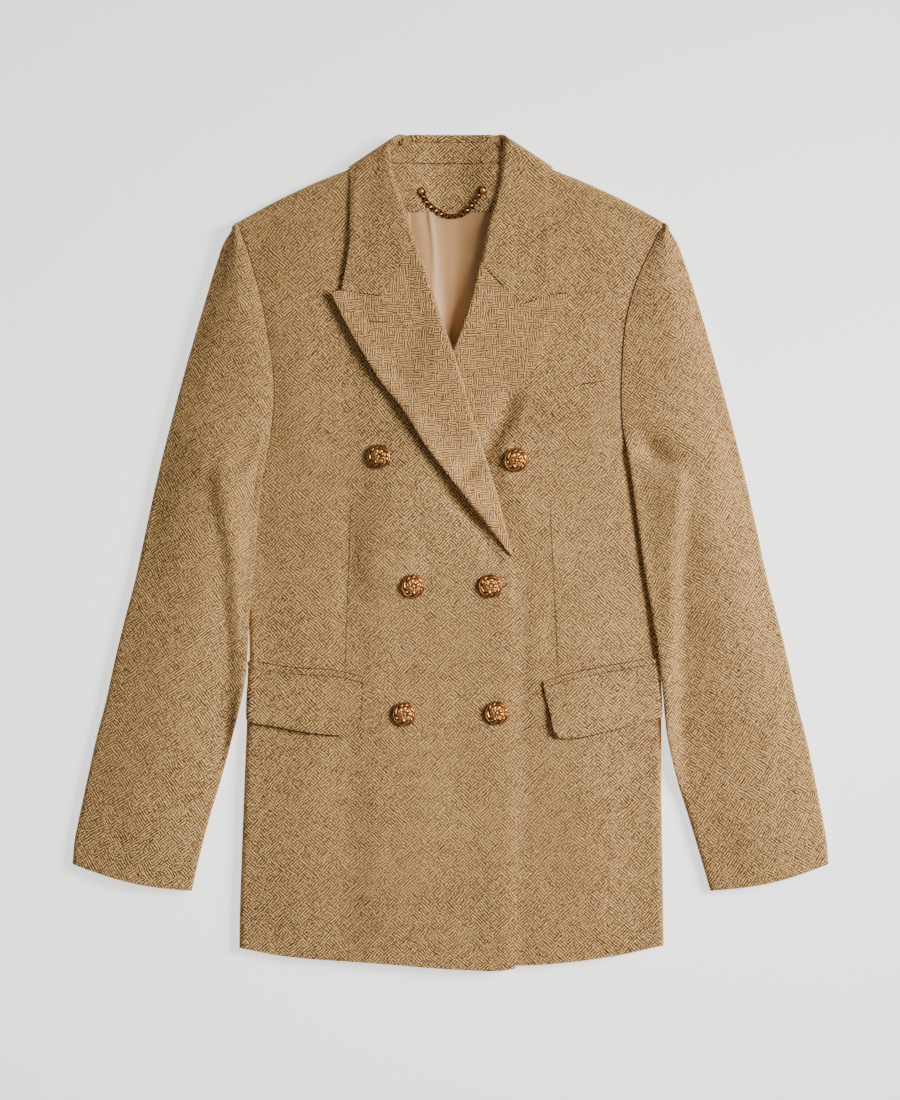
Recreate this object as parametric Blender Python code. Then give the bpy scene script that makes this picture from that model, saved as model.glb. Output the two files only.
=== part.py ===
# Double breasted blazer, laid flat and face up. Metres, +Z up, floor at z = 0,
# +Y towards the collar, origin under the middle of the garment's box.
# "out" is the distance from the centre front towards a side seam, the same for both halves.
import math

import bpy
import numpy as np

MM = 0.001
CENTRE_Y = -0.9  # y of the middle of the box, in the measures below

# Driving sizes, in millimetres
WALL = 2.0  # body and sleeve cloth
LAPEL_WALL = 2.4  # lapel and collar: cloth on canvas
LINING_WALL, FACING_WALL = 1.0, 1.6
SEAM_GAP = 0.4  # between pieces that meet or lie on each other
OVERLAP = 60.5  # front edge past the centre front
HEM_BACK, HEM_SIDE = -378.0, -369.0
SIDE_FOLD = dict(reach=5.5, height=9.0, turn_under=6.0)
SHOULDER_FOLD = dict(reach=7.0, height=13.0, turn_under=6.0)
SHOULDER_NECK, SHOULDER_TIP = (56.0, 374.4), (199.0, 306.4)  # ends of the shoulder fold: out, y
NECK_Y, FOLD_Y, STAND_SEAM_Y = 361.0, 388.3, 381.0
FALL_DEPTH = 47.0  # collar fall behind the neck
COLLAR_LIFT = 3.0  # the back rides on the collar fall that is folded under it
BUTTON = dict(radius=11.2, height=6.6, shank_radius=2.8)
CHAIN_DIAMETER, STUD_DIAMETER = 3.6, 5.4

# Height of the front's outer face over the floor: y, height
BODY_HEIGHT = ((-389, 11.5), (-300, 12.5), (-150, 13.5), (0, 15.0), (110, 17.5), (200, 19.0),
               (290, 17.5), (340, 13.0), (375, 11.0), (390, 10.5))
# Hem of each front: out, y
HEM_RIGHT = ((-60.5, -387.5), (-53, -389.0), (-11, -389.0), (58, -384.0), (164, -375.0), (197, -369.0), (230, -369.0))
CUFF_BOW = 5.0  # how far the middle of a cuff hangs below the line between its corners
HEM_LEFT = ((-60.5, -379.0), (0, -383.5), (62, -385.5), (159, -375.0), (197, -367.0), (230, -367.0))
# Side fold of the body: y, out on each half
SIDE_LINE_RIGHT = ((-389, 197.0), (-343, 196.6), (-287, 194.8), (-213, 192.0), (-157, 189.8), (-101, 187.5), (-50, 189.0),
                   (0, 194.0), (66, 206.0), (320, 230.0))
SIDE_LINE_LEFT = ((-389, 198.8), (-343, 198.4), (-287, 197.5), (-213, 196.5), (-166, 196.5), (-100, 196.0), (0, 198.5),
                  (66, 206.0), (320, 230.0))
# Front armhole, then the inner fold of the sleeve over the body: y, out on each half
INNER_LINE_RIGHT = ((-316, 241.0), (-287, 234.5), (-250, 225.0), (-213, 214.0), (-175, 203.5), (-120, 190.8),
                    (-64, 187.0), (-8, 182.0), (39, 178.0), (80, 173.0), (113, 166.5), (141, 164.0),
                    (169, 165.0), (201, 169.5), (229, 175.0), (257, 182.0), (281, 189.0), (303, 197.5))
INNER_LINE_LEFT = ((-316, 242.0), (-287, 233.5), (-250, 222.5), (-213, 211.0), (-175, 202.0), (-120, 196.0),
                   (-64, 188.0), (-8, 178.5), (39, 172.0), (80, 166.0), (113, 160.5), (141, 159.0),
                   (169, 159.5), (201, 161.5), (229, 166.5), (257, 175.5), (281, 186.5), (303, 197.5))
# Outer fold of the sleeve: y, out; each half adds its own shift
OUTER_LINE = ((-291, 352.4), (-268, 350.3), (-250, 346.6), (-213, 338.5), (-175, 330.0), (-138, 320.5), (-101, 312.5),
              (-64, 303.5), (-27, 293.7), (11, 285.5), (48, 277.5), (85, 269.0), (122, 259.5), (159, 249.7),
              (197, 239.0), (234, 228.0), (271, 217.0), (288, 211.0), (299, 203.8))
# Sleeve thickness: y, height of the crown, height of its folds
SLEEVE_HEIGHT = ((-316, 13.5, 8.5), (-200, 16.0, 9.0), (-60, 20.0, 9.5), (60, 24.0, 10.0), (170, 26.0, 11.0),
                 (250, 24.5, 12.0), (303, 17.0, 13.0))
# Roll line of the lapel and collar: y, out (negative past the centre front)
ROLL_RIGHT = ((-9, -59.0), (17, -53.0), (47, -45.0), (74, -37.0), (100, -29.0), (131, -19.0), (174, -6.5),
              (189, -1.5), (227, 12.0), (271, 25.5), (287, 32.0), (320, 42.0), (342, 50.0), (359, 53.0),
              (371, 54.5), (381, 52.0))
ROLL_LEFT = ((-9, -59.0), (17, -53.0), (47, -45.0), (74, -37.0), (100, -29.0), (131, -19.0), (174, -4.0),
             (189, 2.0), (219, 13.0), (246, 21.0), (269, 27.0), (293, 31.0), (323, 39.5), (342, 44.0),
             (359, 46.0), (371, 48.0), (381, 47.0))
# Free edge of the lapel from the break to the peak: out, y
LAPEL_EDGE_RIGHT = ((-51.5, 1.5), (-41, 15), (-19, 43), (0, 68), (21, 95.5), (43, 130), (66, 160), (94, 205), (112, 240.5))
LAPEL_EDGE_LEFT = ((-51.5, 1.5), (-41, 15), (-19, 43), (4, 69), (27, 98), (47, 131), (64, 153), (80, 176), (94, 205), (111.5, 239.5))
GORGE_RIGHT = ((112, 240.5), (101, 242.0), (66, 237.0), (32, 287))  # peak, notch, gorge seam: out, y
GORGE_LEFT = ((111.5, 239.5), (95, 238.5), (65.5, 229.0), (26.5, 270))
COLLAR_EDGE = ((101, 243.0), (94, 286), (93.5, 319), (93.5, 347))  # outer edge of the leaf: out, y
COLLAR_SHOULDER = (97.0, 360.3)  # where the leaf's edge crosses the shoulder: out, y
# Flaps: corners and bends of the outline, out and y, seen from above
FLAP_TOP_RIGHT = ((82.5, -122.5), (100, -118.0), (147, -114.0), (183, -108.5))
FLAP_BOTTOM_RIGHT = ((90, -168.5), (116, -169.5), (143, -166.0), (163, -162.0), (184, -157.5))
FLAP_TOP_LEFT = ((86.5, -128.0), (110, -120.0), (146, -112.5), (184, -106.0))
FLAP_BOTTOM_LEFT = ((101, -173.0), (118, -173.0), (146, -166.5), (170, -160.5), (188, -155.0))
WELT_CORNERS = ((71.0, 115.0), (139.0, 131.0), (143.0, 158.0), (81.0, 148.0))  # out, y, round the breast welt
# Buttons: name, x, y, half of the garment whose front carries it
BUTTONS = (("button_top_right", -66, 88, "right"), ("button_top_left", 61, 85, "left"),
           ("button_middle_right", -35, -32, "right"), ("button_middle_left", 37, -32, "right"),
           ("button_low_right", -43, -151, "right"), ("button_low_left", 43, -150, "right"))
CHAIN_ROUTE = ((-25.5, 331.5), (-22, 325), (-13, 317.5), (-5, 313), (3, 312), (12, 314), (20, 321), (27.5, 332))
STUDS = (("stud_right", -27.3, 334.3), ("stud_left", 30.0, 335.3))

HALVES = {
    "right": dict(sign=-1, over=True, side=SIDE_LINE_RIGHT, sleeve_shift=0.4, inner=INNER_LINE_RIGHT,
                  roll=ROLL_RIGHT, edge=LAPEL_EDGE_RIGHT,
                  gorge=GORGE_RIGHT, hem=HEM_RIGHT),
    "left": dict(sign=1, over=False, side=SIDE_LINE_LEFT, sleeve_shift=1.9, inner=INNER_LINE_LEFT,
                 roll=ROLL_LEFT, edge=LAPEL_EDGE_LEFT,
                 gorge=GORGE_LEFT, hem=HEM_LEFT),
}


# ---------- shapes of lines and tables ----------

def table(rows, key, column=1):
    """A table's column at key, joined by a smooth curve through its rows."""
    keys = np.array([row[0] for row in rows], float)
    values = np.array([row[column] for row in rows], float)
    slopes = np.gradient(values, keys)
    key = np.clip(np.asarray(key, float), keys[0], keys[-1])
    i = np.clip(np.searchsorted(keys, key, side="right") - 1, 0, len(keys) - 2)
    width = keys[i + 1] - keys[i]
    t = (key - keys[i]) / width
    return ((2 * t**3 - 3 * t**2 + 1) * values[i] + (t**3 - 2 * t**2 + t) * width * slopes[i]
            + (3 * t**2 - 2 * t**3) * values[i + 1] + (t**3 - t**2) * width * slopes[i + 1])


def smooth(t):
    """0 below 0, 1 above 1, an S between."""
    t = np.clip(t, 0.0, 1.0)
    return t * t * (3 - 2 * t)


def line_at(line, along):
    """Points along a polyline at the given distances from its start."""
    line = np.asarray(line, float)
    steps = np.concatenate([[0.0], np.cumsum(np.linalg.norm(np.diff(line, axis=0), axis=1))])
    return np.stack([np.interp(along, steps, line[:, k]) for k in range(line.shape[1])], axis=1)


def line_length(line):
    return float(np.linalg.norm(np.diff(np.asarray(line, float), axis=0), axis=1).sum())


def spaced(points, count):
    """Points along a polyline: count of them at equal steps, or one at each of the given shares of it."""
    shares = np.linspace(0, 1, count) if np.ndim(count) == 0 else np.asarray(count)
    return line_at(points, shares * line_length(points))


def smooth_line(points):
    """A smooth curve through the given points, as a dense polyline."""
    points = np.asarray(points, float)
    along = np.concatenate([[0.0], np.cumsum(np.linalg.norm(np.diff(points, axis=0), axis=1))])
    fine = np.linspace(0, along[-1], 12 * len(points))
    return np.stack([table(list(zip(along, points[:, k])), fine) for k in range(points.shape[1])], axis=1)


def curve(points, count):
    return spaced(smooth_line(points), count)


def patch(bottom, top, left, right, u=None, v=None):
    """A grid that fills four border lines: rows run from bottom to top, columns from left to right.
    u and v are the shares at which the borders were cut, where they aren't even."""
    u = (np.linspace(0, 1, len(bottom)) if u is None else u)[None, :, None]
    v = (np.linspace(0, 1, len(left)) if v is None else v)[:, None, None]
    corners = ((1 - u) * (1 - v) * bottom[0] + u * (1 - v) * bottom[-1] + (1 - u) * v * top[0] + u * v * top[-1])
    return (1 - v) * bottom[None] + v * top[None] + (1 - u) * left[:, None] + u * right[:, None] - corners


def distance_outside(points, polygon):
    """Distance of each point to a closed outline, negative inside it."""
    points, polygon = np.asarray(points, float), np.asarray(polygon, float)
    nearest = np.full(points.shape[:-1], 1e9)
    inside = np.zeros(points.shape[:-1], bool)
    for a, b in zip(polygon, np.roll(polygon, -1, axis=0)):
        t = np.clip(((points - a) @ (b - a)) / ((b - a) @ (b - a)), 0, 1)
        nearest = np.minimum(nearest, np.linalg.norm(points - a - t[..., None] * (b - a), axis=-1))
        rise = b[1] - a[1] if b[1] != a[1] else 1e-9
        crosses = ((a[1] > points[..., 1]) != (b[1] > points[..., 1])) & (
            points[..., 0] < (b[0] - a[0]) * (points[..., 1] - a[1]) / rise + a[0])
        inside ^= crosses
    return np.where(inside, -nearest, nearest)


# ---------- how cloth becomes a closed solid ----------

def grid_normals(grid):
    across, along = np.gradient(grid, axis=1), np.gradient(grid, axis=0)
    normals = np.cross(across, along)
    return normals / np.linalg.norm(normals, axis=2, keepdims=True)


def offset(grid, distance):
    """The grid moved along its normals; a grid whose columns run to +X and rows to +Y has them up."""
    return grid + distance * grid_normals(grid)


def add_solid(name, points, faces, material):
    """One closed mesh object, its faces turned to point out."""
    points = (np.asarray(points, float) - (0, CENTRE_Y, 0)) * MM
    volume = 0.0
    for face in faces:
        first = points[face[0]]
        for i in range(1, len(face) - 1):
            volume += float(np.dot(first, np.cross(points[face[i]], points[face[i + 1]])))
    if volume < 0:
        faces = [face[::-1] for face in faces]
    mesh = bpy.data.meshes.new(name)
    mesh.from_pydata([tuple(p) for p in points], [], [tuple(int(i) for i in face) for face in faces])
    mesh.validate()
    mesh.materials.append(material)
    mesh.shade_smooth()
    mesh.set_sharp_from_angle(angle=math.radians(50))
    piece = bpy.data.objects.new(name, mesh)
    bpy.context.scene.collection.objects.link(piece)
    return piece


def add_shell(name, outer, inner, material):
    """A wall between two grids of the same size, closed all round its border."""
    rows, columns = outer.shape[:2]
    index = np.arange(rows * columns).reshape(rows, columns)
    corners = np.stack([index[:-1, :-1], index[:-1, 1:], index[1:, 1:], index[1:, :-1]], axis=-1).reshape(-1, 4)
    faces = [list(c) for c in corners]
    faces += [[i + rows * columns for i in c[::-1]] for c in corners]
    border = np.concatenate([index[0, :], index[1:, -1], index[-1, -2::-1], index[-2:0:-1, 0]])
    for a, b in zip(border, np.roll(border, -1)):
        faces.append([b, a, a + rows * columns, b + rows * columns])
    points = np.concatenate([outer.reshape(-1, 3), inner.reshape(-1, 3)])
    return add_solid(name, points, faces, material)


def add_sheet(name, grid, wall, material, faces_up=True):
    """Cloth whose outer face is the grid: the wall lies below it, or above it where the outer face looks down."""
    return add_shell(name, grid, offset(grid, -wall if faces_up else wall), material)


def mirrored(grid, sign):
    """From "out" coordinates to x; the right half's columns are turned round so that normals stay up."""
    grid = grid * np.array([sign, 1.0, 1.0])
    return grid if sign > 0 else grid[:, ::-1]


def add_turned(name, profile, centre, normal, sides, material):
    """A solid of revolution: profile of radius and height, closed on its axis at both ends."""
    normal = np.asarray(normal, float) / np.linalg.norm(normal)
    side = np.cross(normal, (0.0, 1.0, 0.0))
    side /= np.linalg.norm(side)
    other = np.cross(normal, side)
    angles = np.arange(sides) * 2 * math.pi / sides
    points = [centre + profile[0][1] * normal]
    for radius, height in profile[1:-1]:
        for angle in angles:
            points.append(centre + height * normal + radius * (math.cos(angle) * side + math.sin(angle) * other))
    points.append(centre + profile[-1][1] * normal)
    rings, last = len(profile) - 2, len(points) - 1
    faces = []
    for k in range(sides):
        n = (k + 1) % sides
        faces.append([0, 1 + n, 1 + k])
        faces.append([last, last - sides + k, last - sides + n])
        for ring in range(rings - 1):
            low, high = 1 + ring * sides, 1 + (ring + 1) * sides
            faces.append([low + k, low + n, high + n, high + k])
    return add_solid(name, points, faces, material)


# ---------- the body's form ----------

def fold(distance, reach, height):
    """Round edge of laid cloth. distance runs along the cloth from the fold's outermost line, negative
    under the garment. Gives how far in from the outline the cloth is, and its height over the floor."""
    quarter = math.pi / 4 * (reach + height / 2)
    angle = np.clip(distance / quarter, -1, 1) * math.pi / 2
    beyond = np.maximum(np.abs(distance) - quarter, 0)
    return reach * (1 - np.cos(angle)) + beyond, height / 2 * (1 + np.sin(angle))


def fold_length(reach, height, turn_under):
    return math.pi / 4 * (reach + height / 2) + turn_under


SHOULDER_ALONG = np.subtract(SHOULDER_TIP, SHOULDER_NECK) / np.linalg.norm(np.subtract(SHOULDER_TIP, SHOULDER_NECK))
SHOULDER_IN = np.array([SHOULDER_ALONG[1], -SHOULDER_ALONG[0]])  # points down into the front


def shoulder_bow(along):
    """How far the padded shoulder line rises past the straight one, by the distance from the neck."""
    return 2.5 * np.sin(math.pi * np.clip((np.asarray(along, float) - 47) / 109, 0, 1))


def shoulder_point(along, inward):
    """out, y of a point by its distance from the neck and inside the shoulder's outline."""
    along = np.asarray(along, float)[..., None]
    return SHOULDER_NECK + along * SHOULDER_ALONG + (inward - shoulder_bow(along)) * SHOULDER_IN


def shoulder_distance(out, y):
    """Distance inside the shoulder's outline."""
    along = (out - SHOULDER_NECK[0]) * SHOULDER_ALONG[0] + (y - SHOULDER_NECK[1]) * SHOULDER_ALONG[1]
    inward = (out - SHOULDER_NECK[0]) * SHOULDER_IN[0] + (y - SHOULDER_NECK[1]) * SHOULDER_IN[1]
    return inward + shoulder_bow(along)


def side_distance(out, y, half):
    return table(half["side"], y) - out


def neck_lift(out, y):
    """How far the collar fall, folded under the back, lifts what lies on it."""
    return COLLAR_LIFT * smooth((y - NECK_Y + FALL_DEPTH + 4) / 26) * smooth((150 - np.abs(out)) / 34)


def lapel_zone():
    """Outline of the left lapel's lower part, in the right half's coordinates."""
    roll = [(-out, y) for y, out in ROLL_LEFT if y < 200]
    return roll + [(-out, y) for out, y in LAPEL_EDGE_LEFT[::-1] if y < 180]


def top_height(out, y, half):
    """Height of a front's outer face away from its folds."""
    low = SIDE_FOLD["height"]
    inside = smooth(side_distance(out, y, half) / 80)
    height = low + (table(BODY_HEIGHT, y) - low) * inside + neck_lift(out, y)
    if half["over"]:  # rides on the other front and, lower on the chest, on its lapel
        height = height + 2.9 * smooth((OVERLAP + 38 - out) / 34)
        zone = distance_outside(np.stack([out, y], axis=-1), lapel_zone())
        height = height + 4.2 * smooth(1 - (zone - 6) / 36)
    return height


def front_face(out, y, half):
    """Outer face of a front over its unrolled outline: the side and shoulder turn under as soft folds."""
    side_in, side_z = fold(side_distance(out, y, half), SIDE_FOLD["reach"], SIDE_FOLD["height"])
    from_shoulder = shoulder_distance(out, y)
    shoulder_in, shoulder_z = fold(from_shoulder, SHOULDER_FOLD["reach"], SHOULDER_FOLD["height"])
    at_side = y < 75
    new_out = np.where(at_side, table(half["side"], y) - side_in, out)
    slide = shoulder_in - from_shoulder
    near_shoulder = from_shoulder < 60
    new_out = np.where(near_shoulder, new_out + slide * SHOULDER_IN[0], new_out)
    new_y = np.where(near_shoulder, y + slide * SHOULDER_IN[1], y)
    side_share = np.where(at_side, side_z / SIDE_FOLD["height"], 1.0)
    shoulder_share = shoulder_z / SHOULDER_FOLD["height"]
    flat = top_height(out, y, half)
    blend = smooth(from_shoulder / 55)
    height = flat * blend + (SHOULDER_FOLD["height"] + neck_lift(out, y)) * (1 - blend)
    share = side_share * shoulder_share
    lift = neck_lift(out, y)
    return np.stack([new_out, new_y, lift + (height - lift) * share], axis=-1)


def armhole(half, count, low_y=66.0):
    """Armhole of the body from the side fold up to the shoulder: out, y."""
    side, inner = float(table(half["side"], low_y)), half["inner"]
    at_92 = float(table(inner, 92))
    lower = [(side, low_y - 1), (side - 12, low_y + 1.5), (at_92 + 9, 77), (at_92 + 1.5, 88)]
    upper = [(float(table(inner, y)) - SEAM_GAP, y) for y in (100, 120, 145, 170, 195, 220, 245, 268, 288, 303)]
    return curve(lower + upper, count)


def cuts(total, first, last, count):
    """Shares of a line: at the given distances from its start, evenly, and at the given ones before its end."""
    first, last = np.array(first) / total, 1 - np.array(last) / total
    return np.concatenate([first[:-1], np.linspace(first[-1], last[0], count), last[1:]])


def front_outline(half):
    """Four borders of a front's unrolled outline: hem, shoulder, front edge and roll, side and armhole."""
    side_turn, shoulder_turn = fold_length(**SIDE_FOLD), fold_length(**SHOULDER_FOLD)
    inset = LAPEL_WALL + SEAM_GAP + 1.8  # the lapel's roll wraps round this edge
    u = cuts(257 + side_turn, (0, ), (side_turn + 30, side_turn + 15, side_turn + 7.5, side_turn + 3, side_turn - 1,
                                      side_turn - 4.5, side_turn - 8, 0), 11)
    turns = (shoulder_turn + 45, shoulder_turn + 24, shoulder_turn + 12, shoulder_turn + 6, shoulder_turn + 1,
             shoulder_turn - 4, shoulder_turn - 9, 0)
    underarm = (0, 14, 27, 38, 50)
    edge = [(-OVERLAP, float(table(half["hem"], -OVERLAP))), (-OVERLAP - 1.0, -277), (-OVERLAP - 1.0, -138),
            (-OVERLAP, -16)]
    roll = [(float(table(half["roll"], y)) + inset + 2.4 * float(smooth((y - 215) / 60)), y)
            for y in (6, 40, 74, 100, 131, 174, 200, 235, 271, 300, 330, 352)]
    neck = np.array(SHOULDER_NECK) + (3.0, -3.0)
    neck_end = neck - SHOULDER_IN * (shoulder_turn + shoulder_distance(*neck))
    roll = np.concatenate([smooth_line(roll + [neck]), [neck_end]])
    side = [(float(table(half["side"], y)) + side_turn, y) for y in (HEM_SIDE, -287, -213, -166, -100, 0, 65)]
    side[0] = (side[0][0], half["hem"][-1][1])
    hole = armhole(half, 60)
    hole[0] = side[-1]
    tip = np.array(SHOULDER_TIP) - SHOULDER_ALONG * 1.0 - SHOULDER_IN * shoulder_turn
    hole = np.concatenate([hole[hole[:, 1] < 296], [tip]])
    hole_cuts = cuts(line_length(hole), underarm, turns, 8)
    left = np.concatenate([curve(edge, 10), spaced(roll, cuts(line_length(roll), underarm, turns, 8))])
    right = np.concatenate([curve(side, 10)[:-1], [side[-1]], spaced(hole, hole_cuts)])
    right[9] = (side[-1][0] + 0.2, side[-1][1] - 3.0)
    bottom_out = left[0][0] + (right[0][0] - left[0][0]) * u
    bottom = np.stack([bottom_out, table(half["hem"], bottom_out)], axis=1)
    bottom[0], bottom[-1] = left[0], right[0]
    ends = [float((np.array(p) - SHOULDER_NECK) @ SHOULDER_ALONG) for p in (left[-1], right[-1])]
    top = shoulder_point(ends[0] + (ends[1] - ends[0]) * u, -shoulder_turn)
    top[0], top[-1] = left[-1], right[-1]
    v = np.concatenate([np.linspace(0, 0.52, 10), 0.54 + 0.46 * hole_cuts])
    return patch(bottom, top, left, right, u, v)


def add_front(name, half, material):
    plan = front_outline(half)
    grid = front_face(plan[..., 0], plan[..., 1], half)
    return add_sheet(name, mirrored(grid, half["sign"]), WALL, material)


# ---------- the back and sides, flat on the floor ----------

def flat_face(plan):
    return np.concatenate([plan, neck_lift(plan[..., 0], plan[..., 1])[..., None]], axis=-1)


# Seam between the back and the side panel, under the garment: y, out. It ends in the armhole
SIDE_SEAM = ((-369, 119.0), (-240, 115.0), (-100, 112.0), (0, 117.0), (60, 131.0), (100, 148.0))
SEAM_END = 128.0


def side_seam(half, gap):
    end = (float(table(half["inner"], SEAM_END)) - 1.6, SEAM_END)
    return curve([(out, y) for y, out in SIDE_SEAM] + [end], 10) + (gap, 0)


def low_armhole(half):
    """Armhole under the side panel, from the side seam down to the underarm: out, y."""
    hole = armhole(half, 80)
    return hole[(hole[:, 1] < 127) & (hole[:, 0] < table(half["side"], 66) - 14)][::-1]


def add_back(name, half, material):
    """Half a back: centre back seam, side seam, armhole, shoulder seam and neck."""
    columns = 7
    low = side_seam(half, -SEAM_GAP / 2)
    hole = armhole(half, 80)
    seam_in = fold(-fold_length(**SHOULDER_FOLD), SHOULDER_FOLD["reach"], SHOULDER_FOLD["height"])[0] + SEAM_GAP
    tip = np.array(SHOULDER_TIP) + SHOULDER_IN * seam_in - SHOULDER_ALONG * 5.0
    neck = np.array(SHOULDER_NECK) + SHOULDER_IN * seam_in + SHOULDER_ALONG * 3
    hole = hole[(hole[:, 1] > 132) & (hole[:, 1] < tip[1] - 4)]
    shares = np.array((0.08, 0.22, 0.38, 0.52, 0.66, 0.76, 0.84, 0.92, 1.0))
    high = spaced(np.concatenate([[low[-1]], hole, [tip]]), shares)
    right = np.concatenate([low, high])
    centre_y = np.concatenate([np.linspace(HEM_BACK, SEAM_END, 10), (150, 200, 250, 290, 312, 322, 331, 341, NECK_Y)])
    left = np.stack([np.full(len(centre_y), SEAM_GAP / 2), centre_y], axis=1)
    shoulder = shoulder_point(np.linspace(8, 148, 15), seam_in)
    top = spaced(np.concatenate([[left[-1], (30, NECK_Y + 0.5), (46, NECK_Y + 2), neck], shoulder, [tip]]), columns)
    bottom = spaced([left[0], right[0]], columns)
    v = (centre_y - centre_y[0]) / (centre_y[-1] - centre_y[0])
    grid = flat_face(patch(bottom, top, left, right, None, v))
    return add_sheet(name, mirrored(grid, half["sign"]), WALL, material, faces_up=False)


def add_side(name, half, material):
    """Side panel: from the back's seam to where the front turns under."""
    rows, columns = 10, 8
    seam_in = fold(-fold_length(**SIDE_FOLD), SIDE_FOLD["reach"], SIDE_FOLD["height"])[0]
    left = side_seam(half, SEAM_GAP / 2)
    y = np.linspace(HEM_SIDE, 64, rows)
    right = np.stack([table(half["side"], y) - seam_in - 2 * SEAM_GAP, y], axis=1)
    top = spaced(np.concatenate([[left[-1]], low_armhole(half), [right[-1]]]), columns)
    bottom = spaced([left[0], right[0]], columns)
    grid = flat_face(patch(bottom, top, left, right))
    return add_sheet(name, mirrored(grid, half["sign"]), WALL, material, faces_up=False)


# ---------- sleeves ----------

SLEEVE_TURN_UNDER = 9.0
SLEEVE_REACH = 6.0


def body_outline(half):
    """Outline of one half of the body, for what is draped over it."""
    side = [(float(table(half["side"], y)), y) for y in (-389, -287, -213, -166, -100, 0, 66)]
    return side + [tuple(p) for p in armhole(half, 24)[1:]] + [(0, 380), (0, -389)]


def sleeve_floor(points, half):
    """Height of the sleeve's lower face: on the floor, and over the edge of the body below the armhole."""
    out, y = points[..., 0], points[..., 1]
    outside = distance_outside(points, body_outline(half))
    resting = top_height(np.minimum(out, table(half["side"], y)), y, half) + 2.2
    over_body = smooth((124 - y) / 34)
    return over_body * resting * smooth((22 - outside) / 17)


# Sections across the sleeve, by the y of their inner end
SLEEVE_SECTIONS = (303, 287, 264, 236, 205, 174, 146, 126, 112, 101, 92, 82, 66, 42, 10, -32, -78, -125, -172, -220, -268, -316)


def closed_share(y):
    """1 where the sleeve's section is a closed tube, 0 where it is sewn into the armhole."""
    return smooth((122 - y) / 32)


def sleeve_rows(half):
    """Ends of each section across the sleeve, from the shoulder to the cuff."""
    inner_y = np.array(SLEEVE_SECTIONS, float)
    share = (inner_y[0] - inner_y) / (inner_y[0] - inner_y[-1])
    outer_y = inner_y - 4.5 * (1 - smooth(share * 8)) + 25 * share
    inner = np.stack([table(half["inner"], inner_y) + 1.8 * SEAM_GAP * smooth((inner_y - 80) / 16), inner_y], axis=1)
    shift = half["sleeve_shift"] * smooth((290 - outer_y) / 60) * smooth((outer_y + 292) / 120)
    outer = np.stack([table(OUTER_LINE, outer_y) + shift, outer_y], axis=1)
    return inner, outer


def cuff_bow(along, width, y):
    """The cuff's edge hangs a little lower in its middle, and so do the sections near it."""
    bow = CUFF_BOW * smooth((-180 - y) / 136) * np.sin(math.pi * np.clip(along / width, 0, 1))
    return np.stack([0 * bow, -bow], axis=-1)


def sleeve_section(inner, outer, half):
    """Outer face of the top sleeve across one section: turned under at the outer fold, and at the inner
    one below the armhole, crowned between."""
    across = outer - inner
    width = float(np.linalg.norm(across))
    across = across / width
    y = inner[1]
    free = float(closed_share(y))
    crown, edge = float(table(SLEEVE_HEIGHT, y)), float(table(SLEEVE_HEIGHT, y, 2))
    reach, under = min(SLEEVE_REACH, 0.35 * width), min(SLEEVE_TURN_UNDER, 0.3 * width)
    seam_height = float(front_face(np.array(inner[0] - 1.0), np.array(y), half)[2])
    start = edge * free + seam_height * (1 - free)
    angle = np.radians((-90, -45, 0, 45, 90))

    def crowned(along):
        t = np.clip((along - reach * free) / (width - reach - reach * free), 0, 1)
        rise = max(crown - (start + edge) / 2, 0)
        return start + (edge - start) * t + rise * np.sin(np.pi * t) ** 0.75

    fold_along = reach * np.concatenate([[1 + under / reach], 1 - np.cos(angle)])
    fold_height = edge / 2 * (1 + np.sin(np.concatenate([angle[:1], angle])))
    along = free * fold_along + (1 - free) * np.arange(6) * min(1.6, 0.05 * width)
    along -= along.min()
    height = free * fold_height + (1 - free) * crowned(along)
    middle = np.linspace(along[-1], width - reach, 7)[1:-1]
    outer_along = width - reach + reach * np.cos(angle[::-1])
    along = np.concatenate([along, middle, outer_along, [width - reach - under]])
    height = np.concatenate([height, crowned(middle), edge / 2 * (1 + np.sin(angle[::-1])), [0.0]])
    plan = inner + along[:, None] * across + cuff_bow(along, width, y)
    floor = sleeve_floor(plan, half)
    return np.concatenate([plan, (floor + height * (1 - 0.25 * floor / 14))[:, None]], axis=1)


def add_top_sleeve(name, half, material):
    inner, outer = sleeve_rows(half)
    grid = np.stack([sleeve_section(a, b, half) for a, b in zip(inner[::-1], outer[::-1])])
    return add_sheet(name, mirrored(grid, half["sign"]), WALL, material)


def add_under_sleeve(name, half, material):
    """Lower face of the sleeve, between the two places where the top sleeve turns under."""
    inner, outer = sleeve_rows(half)
    columns = 7
    rows = []
    for a, b in zip(inner[::-1], outer[::-1]):
        width = float(np.linalg.norm(b - a))
        across = (b - a) / width
        free = float(closed_share(a[1]))
        reach, under = min(SLEEVE_REACH, 0.35 * width), min(SLEEVE_TURN_UNDER, 0.3 * width)
        start = (reach + under + 3.2 * SEAM_GAP) * free + 0.2
        end = width - reach - under - SEAM_GAP
        along = np.linspace(start, max(end, start + 1.0), columns)
        plan = a + along[:, None] * across + cuff_bow(along, width, a[1])
        rows.append(np.concatenate([plan, sleeve_floor(plan, half)[:, None]], axis=1))
    return add_sheet(name, mirrored(np.stack(rows), half["sign"]), WALL, material, faces_up=False)


# ---------- lapels and collar ----------

ROLL_REACH = 4.0
ROLL_HEIGHT = 2 * LAPEL_WALL + WALL + 2 * SEAM_GAP + 0.4  # cloth over, front's edge, cloth under


def lapel_height(out, y, half):
    """Outer face of what lies turned out on a front."""
    return shoulder_height(out, y, half) + SEAM_GAP + LAPEL_WALL + 0.2


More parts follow.
